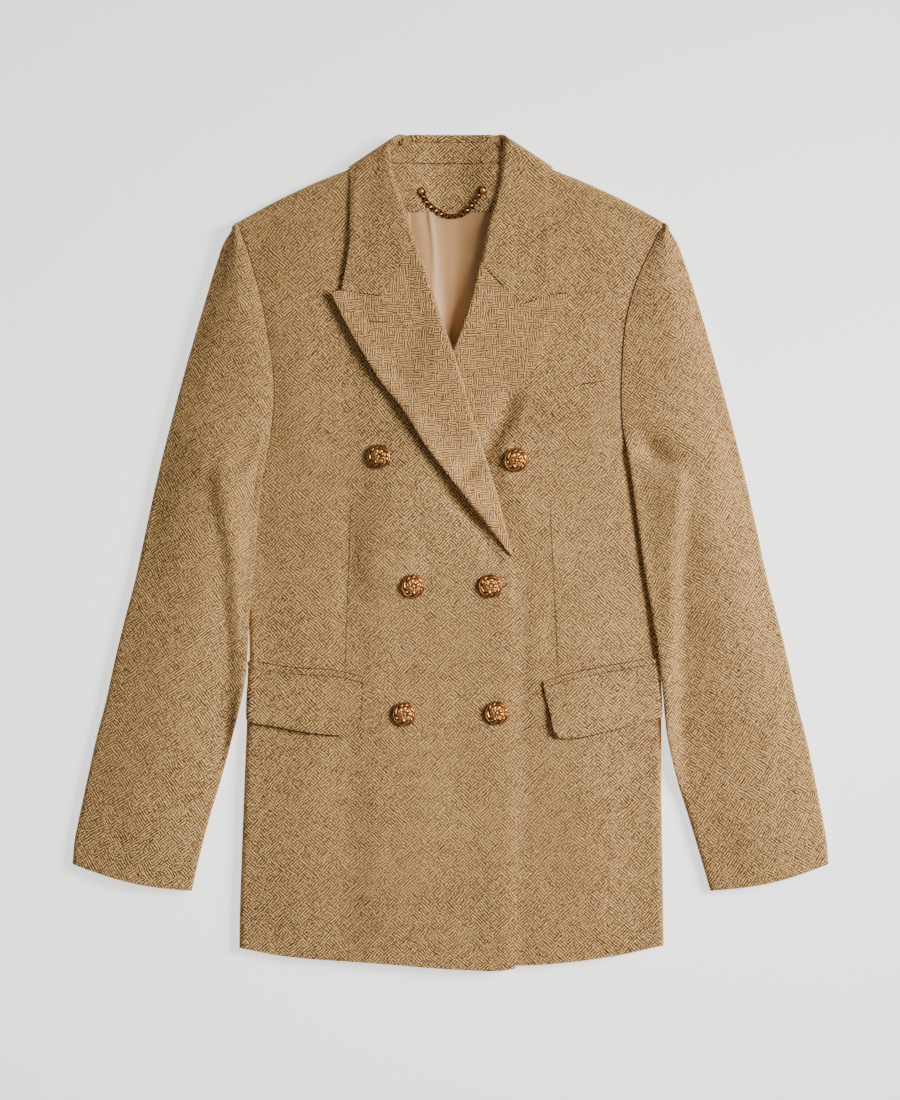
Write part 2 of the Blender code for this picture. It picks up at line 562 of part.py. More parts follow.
def shoulder_height(out, y, half):
    """Height of a front's face, also past its edges."""
    blend = smooth(shoulder_distance(out, y) / 55)
    return top_height(out, y, half) * blend + (SHOULDER_FOLD["height"] + neck_lift(out, y)) * (1 - blend)


def add_lapel(name, half, material):
    """Facing turned out over the front: rolled round the front's edge, its free edge a little clear of it."""
    rows = 17
    gorge = np.array(half["gorge"][::-1], float)
    roll_y = (-4, 17, 47, 74, 100, 131, 174, 200, 227, 250)
    roll = curve([(float(table(half["roll"], y)), y) for y in roll_y if y < gorge[0, 1] - 5] + [tuple(gorge[0])], rows)
    edge = curve(half["edge"], rows)
    plan = patch(spaced([roll[0], edge[0]], 40), spaced(gorge, 40), roll, edge)
    quarter = math.pi / 4 * (ROLL_REACH + ROLL_HEIGHT / 2)
    corner = (line_length(gorge[:2]) - ROLL_REACH) / (line_length(gorge) - ROLL_REACH)
    shares = np.concatenate([np.linspace(0, corner, 5), np.linspace(corner, 1, 5)[1:]])
    grid = []
    for row, line in enumerate(plan):
        if row == rows - 1:
            line = gorge
        y, length = line[0, 1], line_length(line)
        shown = float(smooth((y - 196) / 26))  # the roll turns right under where nothing lies below it
        reach = min(ROLL_REACH, 0.5 * length)
        start = -(0.15 * quarter + (0.85 * quarter + 3.0) * shown)
        along = np.concatenate([np.linspace(start, quarter, 6)[:-1], quarter + shares * (length - reach)])
        inward, rise = fold(along, reach, ROLL_HEIGHT + 2.0 * shown)
        at = line_at(line, inward)
        height = lapel_height(at[:, 0], at[:, 1], half) - ROLL_HEIGHT + rise
        high = smooth(2 * rise / ROLL_HEIGHT - 1)
        settle = 2.0 * shown * (1 - smooth(1 - inward / 26))
        seen = smooth(row / 5 - 0.4) if half["over"] else smooth((y - 120) / 40)
        clear = (4.5 if half["over"] else 1.5) * seen * smooth(1 - (length - inward) / 26)
        height += high * (clear - settle)
        grid.append(np.concatenate([at, height[:, None]], axis=1))
    return add_sheet(name, mirrored(np.stack(grid), half["sign"]), LAPEL_WALL, material)


def rolled(leaf, normal, toward, radius, leg):
    """A row of collar: from the leaf's edge to the fold, round it, and back for a short leg."""
    toward = toward - normal * (toward @ normal)
    toward = toward / np.linalg.norm(toward)
    centre = leaf[-1] - normal * radius
    angles = np.linspace(0, math.pi, 5)[1:]
    turned = [centre + radius * (math.cos(a) * normal - math.sin(a) * toward) for a in angles]
    return np.array(list(leaf) + turned + [turned[-1] + toward * leg])


def shifted(line, distance):
    """A polyline moved sideways, to the left of the way it runs."""
    line = np.asarray(line, float)
    along = np.gradient(line, axis=0)
    along /= np.linalg.norm(along, axis=1, keepdims=True)
    return line + distance * np.stack([-along[:, 1], along[:, 0]], axis=1)


# Collar round the neck corner: turn in degrees, out and y where the leaf meets the roll, way the roll faces
NECK_CORNER = ((23, 55.3, 380.8, (0.83, -0.56)), (53, 52.7, 384.7, (0.7, -0.7)), (85, 50.4, 387.3, (0.54, -0.84)),
               (117, 48.4, 387.4, (0.33, -0.94)), (146, 46.8, 386.2, (0.17, -0.98)))


def collar_half(half):
    """Rows of the collar from its front end round the shoulder to the centre back, edge to fold."""
    up = np.array([0.0, 0.0, 1.0])
    radius = (ROLL_HEIGHT + 2.0) / 2
    count, leaf_columns = 9, 7
    notch_end, corner, roll_end = shifted(half["gorge"][1:], np.array([[-0.9], [-1.3], [-2.0]]))
    seam = spaced([corner, roll_end], 41)
    seam = seam[seam[:, 0] > table(half["roll"], seam[:, 1]) + radius]
    edge = curve([notch_end] + list(COLLAR_EDGE[1:]), count)
    roll_y = np.linspace(seam[-1, 1], 376, count)
    roll = np.stack([table(half["roll"], roll_y) + radius, roll_y], axis=1)
    bottom = np.concatenate([spaced([notch_end, corner], 4), spaced([corner, roll[0]], 4)[1:]])
    plan = patch(bottom, spaced([edge[-1], roll[-1]], leaf_columns), edge, roll)
    rows = []
    for k, line in enumerate(plan):
        share = np.linspace(0, 1, leaf_columns)
        height = lapel_height(line[:, 0], line[:, 1], half) + 2.0 * smooth(share * 2 - 1)
        height += (3.5 if half["over"] else 1.5) * smooth(1 - share * 3) * smooth((9 - k) / 5)
        leaf = np.concatenate([line, height[:, None]], axis=1)
        rows.append(rolled(leaf, up, leaf[-2] - leaf[-1], radius, 0.6))
    outward = np.append(-SHOULDER_IN, 0.0)
    top_edge, top_fold = rows[-1][0], rows[-1][leaf_columns - 1]
    for degrees, out, y, (toward_out, toward_y) in NECK_CORNER:
        angle = math.radians(degrees)
        turn = (1 + math.cos(angle)) / 2
        back = 1 - math.sin(angle)
        edge_point = np.append(np.array(COLLAR_SHOULDER) + SHOULDER_IN * 7 * back, top_edge[2] * turn)
        fold_point = np.array([out, y, top_fold[2] * turn])
        normal = outward * math.sin(angle) + up * math.cos(angle)
        toward = np.array([toward_out, toward_y, 0.0])
        rows.append(rolled(np.linspace(edge_point, fold_point, leaf_columns), normal, toward, radius - 1.0 + turn, 0.4))
    back_radius = ROLL_HEIGHT / 2
    for share in np.linspace(0, 1, 6):
        edge_point = np.array([84.0 * (1 - share), FOLD_Y - FALL_DEPTH + 6 * (1 - share) ** 2, 0.0])
        fold_point = np.array([44.0 * (1 - share), FOLD_Y - back_radius - 0.3 * (1 - share) ** 2, 0.0])
        leg = fold_point[1] - STAND_SEAM_Y - SEAM_GAP / 2
        leaf = np.linspace(edge_point, fold_point, leaf_columns)
        rows.append(rolled(leaf, -up, np.array([0.0, -1.0, 0.0]), back_radius, leg))
    return np.stack(rows)


def add_collar(name, material):
    left, right = collar_half(HALVES["left"]), collar_half(HALVES["right"])
    right = right * (-1, 1, 1)
    grid = np.concatenate([left, right[-2::-1]])
    return add_sheet(name, grid, LAPEL_WALL, material, faces_up=False)


# Inside of the collar behind the neck, seen in the open neck: y, x of its two ends, height
STAND = ((NECK_Y + SEAM_GAP / 2, -50.0, 46.0, 7.6), (STAND_SEAM_Y - 6.0, -46.0, 43.5, 7.8), (STAND_SEAM_Y - SEAM_GAP / 2, -40.5, 40.0, 8.0))


def add_stand(name, material):
    """Inside of the collar behind the neck, from under the fold to the neck seam."""
    y = np.linspace(STAND[0][0], STAND[-1][0], 4)
    left, right, height = (np.interp(y, [row[0] for row in STAND], [row[k] for row in STAND]) for k in (1, 2, 3))
    share = np.linspace(0, 1, 9)
    x = left[:, None] + (right - left)[:, None] * share
    grid = np.stack([x, y[:, None] + 0 * x, height[:, None] + 0 * x], axis=-1)
    return add_sheet(name, grid, WALL, material)


def inside_height(x, y):
    """Inner face of the back."""
    return WALL + neck_lift(np.abs(x), y)


def add_back_facing(name, material):
    rows, columns = 6, 13
    y = np.linspace(316.0, NECK_Y - SEAM_GAP, rows)
    right = np.linspace(54.0, 46.5, rows)
    x = -56.0 + (right + 56.0)[:, None] * np.linspace(0, 1, columns)
    grid = np.stack([x, y[:, None] + 0 * x], axis=-1)
    height = inside_height(grid[..., 0], grid[..., 1]) + SEAM_GAP + 0.4 + FACING_WALL
    return add_sheet(name, np.concatenate([grid, height[..., None]], axis=-1), FACING_WALL, material)


# Soft pleats of the lining in the open neck: x at the top, width, height
LINING_PLEATS = ((-30, 9, 1.6), (-17, 6, 2.2), (2, 16, 1.2), (25, 8, 1.8))


def add_lining(name, material):
    rows, columns = 8, 19
    y = np.linspace(168.0, 316.0 - SEAM_GAP, rows)
    half_width = np.linspace(22.0, 54.0, rows)
    x = half_width[:, None] * np.linspace(-1, 1, columns)[None, :]
    y = np.repeat(y[:, None], columns, axis=1)
    height = inside_height(x, y) + SEAM_GAP + 0.3 + LINING_WALL
    for centre, width, tall in LINING_PLEATS:
        lean = centre * (0.55 + 0.45 * (y - 168) / 148)
        height = height + tall * np.exp(-(((x - lean) / width) ** 2)) * smooth((330 - y) / 40)
    return add_sheet(name, np.stack([x, y, height], axis=-1), LINING_WALL, material)


# ---------- pockets, buttons, hanger chain ----------

def add_on_front(name, half, plan, wall, clear, material):
    """A piece that lies on a front: the front's own face, moved out."""
    base = front_face(plan[..., 0], plan[..., 1], half)
    normals = grid_normals(base)
    inner = base + normals * (SEAM_GAP + clear)[..., None]
    outer = base + normals * (SEAM_GAP + clear + wall)[..., None]
    return add_shell(name, mirrored(outer, half["sign"]), mirrored(inner, half["sign"]), material)


FLAPS = {
    "right": dict(top=FLAP_TOP_RIGHT, bottom=FLAP_BOTTOM_RIGHT, end=185.8, corner=(82.5, -163.0)),
    "left": dict(top=FLAP_TOP_LEFT, bottom=FLAP_BOTTOM_LEFT, end=192.6, corner=(93.0, -167.0)),
}
JET_WIDTH = 5.4
POCKET_CUTS = np.concatenate([np.linspace(0, 0.9, 9), (0.93, 0.955, 0.98, 1.0)])  # close at the side fold


def add_flap(name, side, material):
    """Pocket flap with a rounded front corner, its lower edge a little clear of the front."""
    flap, rows = FLAPS[side], 6
    last_top, last_low = flap["top"][-1][1] + 1.0, flap["bottom"][-1][1] + 1.0
    top = curve(list(flap["top"]) + [(flap["end"], last_top)], POCKET_CUTS)
    bottom = curve(list(flap["bottom"]) + [(flap["end"] - 0.5, last_low)], POCKET_CUTS)
    left = curve([bottom[0], flap["corner"], top[0]], rows)
    right = spaced([bottom[-1], top[-1]], rows)
    plan = patch(bottom, top, left, right, POCKET_CUTS)
    clear = 2.2 * smooth(1 - np.linspace(0, 1, rows) * 1.6)[:, None] * np.ones(len(POCKET_CUTS)) + 0.2
    return add_on_front(name, HALVES[side], plan, WALL, clear, material)


def add_jet(name, side, material):
    """Narrow welt above the flap."""
    flap = FLAPS[side]
    low = curve(list(flap["top"]) + [(flap["end"], flap["top"][-1][1] + 1.0)], POCKET_CUTS) + (0, 0.5)
    plan = np.stack([low, low + (0, JET_WIDTH * 0.5), low + (0, JET_WIDTH)])
    return add_on_front(name, HALVES[side], plan, 1.4, np.full(plan.shape[:2], 0.2), material)


def add_welt(name, material):
    low_left, low_right, high_right, high_left = WELT_CORNERS
    columns, rows = 8, 4
    plan = patch(spaced([low_left, low_right], columns), spaced([high_left, high_right], columns),
                 spaced([low_left, high_left], rows), spaced([low_right, high_right], rows))
    return add_on_front(name, HALVES["left"], plan, WALL, np.full(plan.shape[:2], 0.1), material)


def front_spot(x, y, half):
    """Point and normal of a front's outer face under x, y: those of the triangle that holds the point."""
    plan = front_outline(half)
    grid = front_face(plan[..., 0], plan[..., 1], half) * (half["sign"], 1, 1)
    corners = [grid[:-1, :-1], grid[:-1, 1:], grid[1:, 1:], grid[1:, :-1]]
    for a, b, c in ((corners[0], corners[1], corners[2]), (corners[0], corners[2], corners[3])):
        normal = np.cross(b - a, c - a)
        area = np.where(normal[..., 2] == 0, 1e-9, normal[..., 2])
        to_point = np.array([x, y]) - a[..., :2]
        u = (to_point[..., 0] * (c - a)[..., 1] - to_point[..., 1] * (c - a)[..., 0]) / area
        v = ((b - a)[..., 0] * to_point[..., 1] - (b - a)[..., 1] * to_point[..., 0]) / area
        found = np.argwhere((u >= 0) & (v >= 0) & (u + v <= 1))
        if len(found):
            k = tuple(found[0])
            height = a[k][2] + u[k] * (b - a)[k][2] + v[k] * (c - a)[k][2]
            return np.array([x, y, height]), normal[k] * np.sign(normal[k][2])
    raise ValueError("no cloth under this point")


def add_button(name, x, y, half, material):
    """Shank button: a domed face with a rim, standing on a short shank."""
    spot, normal = front_spot(x, y, half)
    r, tall, shank = BUTTON["radius"], BUTTON["height"], BUTTON["shank_radius"]
    profile = [(0, 0.45), (shank, 0.45), (shank, 1.9), (r * 0.92, 2.1), (r, 3.2), (r * 0.86, 4.7), (r * 0.45, tall - 0.4),
               (0, tall)]
    return add_turned(name, profile, spot, normal, 16, material)


def facing_top(x, y):
    return float(inside_height(np.array(x), np.array(y))) + SEAM_GAP + 0.4 + FACING_WALL


def add_stud(name, x, y, material):
    r = STUD_DIAMETER / 2
    base = np.array([x, y, facing_top(x, y)])
    profile = [(0, 0.3), (r * 0.7, 0.3), (r * 0.7, 1.1)] + [
        (r * math.cos(a), 1.1 + r + r * math.sin(a)) for a in np.radians((-35, 0, 35, 65))] + [(0, 1.1 + 2 * r)]
    return add_turned(name, profile, base, (0, 0, 1), 12, material)


def add_chain(name, material):
    """Hanger chain as one round cord along its route, from stud to stud."""
    count = 26
    route = curve(CHAIN_ROUTE, count)
    r = CHAIN_DIAMETER / 2
    highest = facing_top(0, 335)
    spline_data = bpy.data.curves.new(name, "CURVE")
    spline_data.dimensions = "3D"
    spline_data.bevel_depth = r * MM
    spline_data.bevel_resolution = 1
    spline_data.use_fill_caps = True
    spline = spline_data.splines.new("POLY")
    spline.points.add(count - 1)
    for k, (x, y) in enumerate(route):
        spline.points[k].co = (x * MM, (y - CENTRE_Y) * MM, (highest + 0.4 + r) * MM, 1.0)
    spline_data.materials.append(material)
    piece = bpy.data.objects.new(name, spline_data)
    bpy.context.scene.collection.objects.link(piece)
    return piece


# ---------- materials and assembly ----------

def new_material(name, colour, roughness, metallic):
    material = bpy.data.materials.new(name)
    material.use_nodes = True
    shader = material.node_tree.nodes["Principled BSDF"]
    shader.inputs["Base Color"].default_value = (*colour, 1.0)
    shader.inputs["Roughness"].default_value = roughness
    shader.inputs["Metallic"].default_value = metallic
    material.diffuse_color = (*colour, 1.0)
    return material


def clear_scene():
    for piece in list(bpy.data.objects):
        bpy.data.objects.remove(piece, do_unlink=True)


def main():
    clear_scene()
    cloth = new_material("tan_weave", (0.42, 0.27, 0.15), 0.85, 0.0)
    lining = new_material("lining_satin", (0.50, 0.33, 0.21), 0.4, 0.0)
    metal = new_material("antique_gold", (0.55, 0.30, 0.10), 0.35, 1.0)
    for side, half in HALVES.items():
        add_back("back_" + side, half, cloth)
        add_side("side_panel_" + side, half, cloth)
        add_front("front_" + side, half, cloth)
        add_top_sleeve("top_sleeve_" + side, half, cloth)
        add_under_sleeve("under_sleeve_" + side, half, cloth)
        add_lapel("lapel_" + side, half, cloth)
        add_flap("flap_" + side, side, cloth)
        add_jet("jet_" + side, side, cloth)
    add_collar("collar", cloth)
    add_stand("collar_stand", cloth)
    add_back_facing("back_neck_facing", cloth)
    add_lining("lining", lining)
    add_welt("breast_welt", cloth)
    for name, x, y, side in BUTTONS:
        add_button(name, x, y, HALVES[side], metal)
    for name, x, y in STUDS:
        add_stud(name, x, y, metal)
    add_chain("hanger_chain", metal)


main()
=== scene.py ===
import math
from functools import partial

import bpy
import numpy as np
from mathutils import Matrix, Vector


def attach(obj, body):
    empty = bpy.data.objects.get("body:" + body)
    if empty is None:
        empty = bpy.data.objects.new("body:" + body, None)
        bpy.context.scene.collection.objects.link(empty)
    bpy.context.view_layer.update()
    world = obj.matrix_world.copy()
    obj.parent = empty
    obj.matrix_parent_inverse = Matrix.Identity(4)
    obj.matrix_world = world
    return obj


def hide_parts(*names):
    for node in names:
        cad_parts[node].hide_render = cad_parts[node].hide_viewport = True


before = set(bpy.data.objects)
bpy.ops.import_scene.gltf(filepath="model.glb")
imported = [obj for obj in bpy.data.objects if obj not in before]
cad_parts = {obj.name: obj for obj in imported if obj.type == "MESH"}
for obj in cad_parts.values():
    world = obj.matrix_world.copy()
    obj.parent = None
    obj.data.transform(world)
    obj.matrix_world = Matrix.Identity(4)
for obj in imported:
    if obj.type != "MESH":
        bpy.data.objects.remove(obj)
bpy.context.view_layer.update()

midY = -0.9  # mm, middle of the garment's box in the measures below

# ---------- curves through short tables, same sizes as the solids ----------


def tableAt(rows, key, column=1):
    keys = np.array([r[0] for r in rows], float)
    values = np.array([r[column] for r in rows], float)
    slopes = np.gradient(values, keys)
    key = np.clip(np.asarray(key, float), keys[0], keys[-1])
    i = np.clip(np.searchsorted(keys, key, side="right") - 1, 0, len(keys) - 2)
    w = keys[i + 1] - keys[i]
    t = (key - keys[i]) / w
    return ((2*t**3 - 3*t**2 + 1)*values[i] + (t**3 - 2*t**2 + t)*w*slopes[i]
            + (3*t**2 - 2*t**3)*values[i + 1] + (t**3 - t**2)*w*slopes[i + 1])


def ease(t):
    t = np.clip(t, 0.0, 1.0)
    return t*t*(3 - 2*t)


def stepLengths(line):
    return np.linalg.norm(np.diff(np.asarray(line, float), axis=0), axis=1)


def lineLength(line):
    return float(stepLengths(line).sum())


def arcs(line):  # length of a line up to each of its points
    return np.concatenate([[0.0], np.cumsum(stepLengths(line))])


def lineAt(line, along):
    return np.stack([np.interp(along, arcs(line), column) for column in np.array(line, float).T], axis=1)


def unit(vectors):
    return vectors/np.linalg.norm(vectors, axis=-1, keepdims=True)


def tablePoints(rows, y):  # a table's value and its key, as x and y of a line
    return np.stack([tableAt(rows, y), np.asarray(y, float)], axis=1)


def spaced(line, shares):
    shares = np.linspace(0, 1, shares) if np.ndim(shares) == 0 else np.asarray(shares)
    return lineAt(line, shares*lineLength(line))


def smoothLine(points):
    points = np.array(points, float)
    along = arcs(points)
    fine = np.linspace(0, along[-1], 40*len(points))
    return np.stack([tableAt(list(zip(along, column)), fine) for column in points.T], axis=1)


def curve(points, shares):
    return spaced(smoothLine(points), shares)


def patch(bottom, top, left, right, u=None, v=None):  # fills four borders, rows go up, columns go across
    u = (np.linspace(0, 1, len(bottom)) if u is None else u)[None, :, None]
    v = (np.linspace(0, 1, len(left)) if v is None else v)[:, None, None]
    corners = (1 - u)*(1 - v)*bottom[0] + u*(1 - v)*bottom[-1] + (1 - u)*v*top[0] + u*v*top[-1]
    return (1 - v)*bottom[None] + v*top[None] + (1 - u)*left[:, None] + u*right[:, None] - corners


def distanceOutside(points, polygon):
    points, polygon = np.asarray(points, float), np.asarray(polygon, float)
    nearest = np.full(points.shape[:-1], 1e9)
    inside = np.zeros(points.shape[:-1], bool)
    for a, b in zip(polygon, np.roll(polygon, -1, axis=0)):
        t = np.clip(((points - a) @ (b - a))/((b - a) @ (b - a)), 0, 1)
        nearest = np.minimum(nearest, np.linalg.norm(points - a - t[..., None]*(b - a), axis=-1))
        rise = b[1] - a[1] if b[1] != a[1] else 1e-9
        inside ^= ((a[1] > points[..., 1]) != (b[1] > points[..., 1])) & (
            points[..., 0] < (b[0] - a[0])*(points[..., 1] - a[1])/rise + a[0])
    return np.where(inside, -nearest, nearest)


def gridNormals(grid):
    n = np.cross(np.gradient(grid, axis=1), np.gradient(grid, axis=0))
    return n/np.maximum(np.linalg.norm(n, axis=2, keepdims=True), 1e-9)


def turned(points, degrees):
    a = math.radians(degrees)
    return np.stack([points[..., 0]*math.cos(a) + points[..., 1]*math.sin(a),
                     points[..., 1]*math.cos(a) - points[..., 0]*math.sin(a)], axis=-1)


def gridArea(grid):  # square metres of a grid given in mm
    a, b, c, d = grid[:-1, :-1], grid[:-1, 1:], grid[1:, 1:], grid[1:, :-1]
    one = np.linalg.norm(np.cross(b - a, c - a), axis=-1) + np.linalg.norm(np.cross(c - a, d - a), axis=-1)
    return float(one.sum())/2*1e-6


# ---------- from grids to finished pieces ----------

def addMesh(name, points, faces, uv, material, node):
    mesh = bpy.data.meshes.new(name)
    mesh.from_pydata((np.asarray(points, float) - (0, midY, 0))*0.001, [], faces)
    mesh.update()
    if uv is not None:
        layer = mesh.uv_layers.new(name="grain")
        loops = np.empty(len(mesh.loops), np.int32)
        mesh.loops.foreach_get("vertex_index", loops)
        layer.data.foreach_set("uv", np.asarray(uv, float)[loops].ravel())
    mesh.polygons.foreach_set("use_smooth", np.ones(len(mesh.polygons), bool))
    mesh.set_sharp_from_angle(angle=math.radians(42))
    mesh.materials.append(material)
    piece = bpy.data.objects.new(name, mesh)
    bpy.context.scene.collection.objects.link(piece)
    if node:
        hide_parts(node)
    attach(piece, "root")
    return piece


def shellFaces(rows, columns):
    k = np.arange(rows*columns).reshape(rows, columns)
    quads = np.stack([k[:-1, :-1], k[:-1, 1:], k[1:, 1:], k[1:, :-1]], axis=-1).reshape(-1, 4)
    rim = np.concatenate([k[0, :], k[1:, -1], k[-1, -2::-1], k[-2:0:-1, 0]])
    after = np.roll(rim, -1)
    n = rows*columns
    return np.concatenate([quads, quads[:, ::-1] + n, np.stack([after, rim, rim + n, after + n], axis=-1)])


def addCloth(name, outer, wall, grain, material, up=True, slotName="tan_weave", flat=None, rests=()):
    # the inner face is the outer one moved in by the wall along its normals, and a strip of faces closes the rim
    outer = np.maximum(outer, (-1e4, -1e4, 0.0))  # nothing sinks into what the garment lies on
    inner = np.maximum(outer + gridNormals(outer)*(-wall if up else wall), (-1e4, -1e4, 0.0))
    faces = shellFaces(*outer.shape[:2])
    if not up:
        faces = faces[:, ::-1]
    points = np.concatenate([outer.reshape(-1, 3), inner.reshape(-1, 3)])
    uv = np.concatenate([grain.reshape(-1, 2)]*2)*0.1
    piece = addMesh(name + "_cloth", points, faces, uv, material, name)
    area = gridArea(outer)
    across = max(lineLength(row) for row in outer[::8])*0.001
    along = max(lineLength(outer[:, k]) for k in range(0, outer.shape[1], 8))*0.001
    if flat:
        across, along = flat[0] or across, flat[1] or along
    area = min(area, 0.999*across*along)
    print(f"{piece.name}: {len(faces)*2} triangles, cut {across*100:.1f} x {along*100:.1f} cm, {area*1e4:.0f} cm2")
    return piece


def mirrored(grid, sign):  # each half is worked out at x above 0; the right one's x and order of columns turn over
    grid = grid*np.array((sign, 1.0, 1.0)[:grid.shape[-1]])
    return grid if sign > 0 else grid[:, ::-1]


def finer(shares, steps):  # every step of a list cut into smaller even ones
    shares = np.asarray(shares, float)
    return np.interp(np.arange((len(shares) - 1)*steps + 1)/steps, np.arange(len(shares)), shares)


# ---------- form of the body: the right half lies over the left one ----------

body = dict(wall=2.0, overlap=60.5, hemBack=-378.0, hemSide=-369.0, sideReach=5.5, sideHeight=9.0, sideUnder=6.0,
            shoulderReach=7.0, shoulderHeight=13.0, shoulderUnder=6.0, neckY=361.0, foldY=388.3, standY=381.0,
            fallDepth=47.0, collarLift=3.0, gap=0.4, armpit=66.0)
shoulderNeck, shoulderTip = (56.0, 374.4), (199.0, 306.4)
bodyHeight = ((-389, 11.5), (-300, 12.5), (-150, 13.5), (0, 15.0), (110, 17.5), (200, 19.0), (290, 17.5),
              (340, 13.0), (375, 11.0), (390, 10.5))
outerLine = ((-291, 352.4), (-268, 350.3), (-250, 346.6), (-213, 338.5), (-175, 330.0), (-138, 320.5),
             (-101, 312.5), (-64, 303.5), (-27, 293.7), (11, 285.5), (48, 277.5), (85, 269.0), (122, 259.5),
             (159, 249.7), (197, 239.0), (234, 228.0), (271, 217.0), (288, 211.0), (299, 203.8))
collarEdge, collarShoulder = ((101, 243.0), (94, 286), (93.5, 319), (93.5, 346)), (95.6, 357.8)
lowRoll = ((-9, -59.0), (17, -53.0), (47, -45.0), (74, -37.0), (100, -29.0), (131, -19.0))
halves = {
    "right": dict(
        sign=-1, over=True, sleeveShift=0.4,
        side=((-389, 197.0), (-343, 196.6), (-287, 194.8), (-213, 192.0), (-157, 189.8), (-101, 187.5), (-50, 189.0),
              (0, 194.0), (66, 206.0), (320, 230.0)),
        hem=((-60.5, -387.5), (-53, -389.0), (-11, -389.0), (58, -384.0), (164, -375.0), (197, -369.0),
             (230, -369.0)),
        inner=((-316, 241.0), (-287, 234.5), (-250, 225.0), (-213, 214.0), (-175, 203.5), (-120, 190.8), (-64, 187.0),
               (-8, 182.0), (39, 178.0), (80, 173.0), (113, 166.5), (141, 164.0), (169, 165.0), (201, 169.5),
               (229, 175.0), (257, 182.0), (281, 189.0), (303, 197.5)),
        roll=lowRoll + ((174, -6.5), (189, -1.5),
              (227, 12.0), (271, 25.5), (287, 32.0), (320, 42.0), (342, 50.0), (359, 53.0), (371, 54.5), (381, 52.0)),
        edge=((-51.5, 1.5), (-41, 15), (-19, 43), (0, 68), (21, 95.5), (43, 130), (66, 160), (94, 205), (112, 240.5)),
        gorge=((112, 240.5), (101, 242.0), (66, 237.0), (32, 287))),
    "left": dict(
        sign=1, over=False, sleeveShift=1.9,
        side=((-389, 198.8), (-343, 198.4), (-287, 197.5), (-213, 196.5), (-166, 196.5), (-100, 196.0), (0, 198.5),
              (66, 206.0), (320, 230.0)),
        hem=((-60.5, -379.0), (0, -383.5), (62, -385.5), (159, -375.0), (197, -367.0), (230, -367.0)),
        inner=((-316, 242.0), (-287, 233.5), (-250, 222.5), (-213, 211.0), (-175, 202.0), (-120, 196.0), (-64, 188.0),
               (-8, 178.5), (39, 172.0), (80, 166.0), (113, 160.5), (141, 159.0), (169, 159.5), (201, 161.5),
               (229, 166.5), (257, 175.5), (281, 186.5), (303, 197.5)),
        roll=lowRoll + ((174, -4.0), (189, 2.0),
              (219, 13.0), (246, 21.0), (269, 27.0), (293, 31.0), (323, 39.5), (342, 44.0), (359, 46.0), (371, 48.0),
              (381, 47.0)),
        edge=((-51.5, 1.5), (-41, 15), (-19, 43), (4, 69), (27, 98), (47, 131), (64, 153), (80, 176), (94, 205),
              (111.5, 239.5)),
        gorge=((111.5, 239.5), (95, 238.5), (65.5, 229.0), (26.5, 270))),
}

# soft troughs (below 0) and ridges laid over the fronts: from x, y to x, y, half width, height in mm
bodyCreases = ((-92, 190, -170, 262, 16, -0.9), (-120, 168, -176, 222, 14, 0.7),
               (-150, 300, -120, 220, 13, 0.6), (-60, -40, -128, -8, 13, -0.8), (-54, -20, -120, 22, 12, 0.7),
               (-70, 70, -150, 96, 15, 0.7), (-76, 60, -168, 60, 12, -0.6), (-44, -150, -118, -140, 13, 0.6),
               (-30, -190, -40, -330, 20, 0.9), (-84, -190, -98, -360, 17, -0.9),
               (-140, -200, -150, -368, 19, 1.0), (-170, -60, -186, 40, 9, -0.7), (-100, -60, -96, 40, 6, -0.9),
               (-148, -84, -120, 30, 14, 0.6), (0, -50, -6, 40, 15, 0.6), (6, -80, 14, -330, 15, -0.7),
               (48, -205, 40, -372, 17, 0.8), (84, -196, 96, -352, 16, -0.9), (128, -196, 122, -360, 18, 0.8),
               (164, -190, 172, -352, 12, -0.7), (96, -30, 100, -110, 7, -0.9), (70, 60, 96, -20, 15, 0.7),
               (128, 90, 118, -20, 14, -0.6), (150, 70, 172, -60, 10, 0.8), (120, 196, 148, 250, 14, 0.8),
               (86, 196, 126, 262, 12, -0.6), (148, 280, 120, 330, 15, 0.6), (8, 64, 58, 146, 10, -7.6),
               (36, 90, 63, -8, 10, -3.0), (47, -12, -18, 68, 8, -4.0), (-58, -120, -20, -60, 12, -0.5),
               (50, -60, 26, -130, 13, 0.6), (118, 50, 60, 12, 11, -0.5), (-150, 130, -130, 60, 12, 0.5))
# the same for the right sleeve at x below 0 and the left at x above
sleeveCreases = ((-180, 120, -226, 60, 15, 1.3), (-190, 86, -236, 18, 13, -1.2), (-198, 40, -258, -8, 15, 1.1),
                 (-210, 0, -272, -58, 14, -1.1), (-222, -52, -280, -98, 15, 1.0),
                 (-226, -104, -300, -140, 13, -0.9), (-246, -150, -306, -204, 16, 1.0),
                 (-262, -214, -322, -236, 13, -0.8), (-196, 200, -214, 120, 14, -0.9),
                 (-216, 236, -236, 140, 13, 0.9), (-270, -290, -300, -210, 14, 0.8),
                 (-206, 290, -222, 240, 12, -0.6), (-262, 60, -276, -30, 10, -0.7),
                 (176, 130, 214, 84, 13, 1.2), (186, 96, 240, 54, 14, -1.3), (190, 50, 250, 18, 14, 1.2),
                 (206, 6, 268, -40, 15, -1.2), (212, -40, 286, -66, 13, 1.1), (230, -84, 290, -132, 15, -1.0),
                 (238, -150, 306, -178, 15, 1.1), (258, -196, 318, -240, 14, -1.0),
                 (186, 206, 206, 130, 13, -0.8), (208, 246, 232, 150, 13, 1.0), (202, 286, 214, 250, 11, -0.6),
                 (278, -296, 300, -228, 13, 0.9), (252, 90, 270, 0, 11, -0.8))


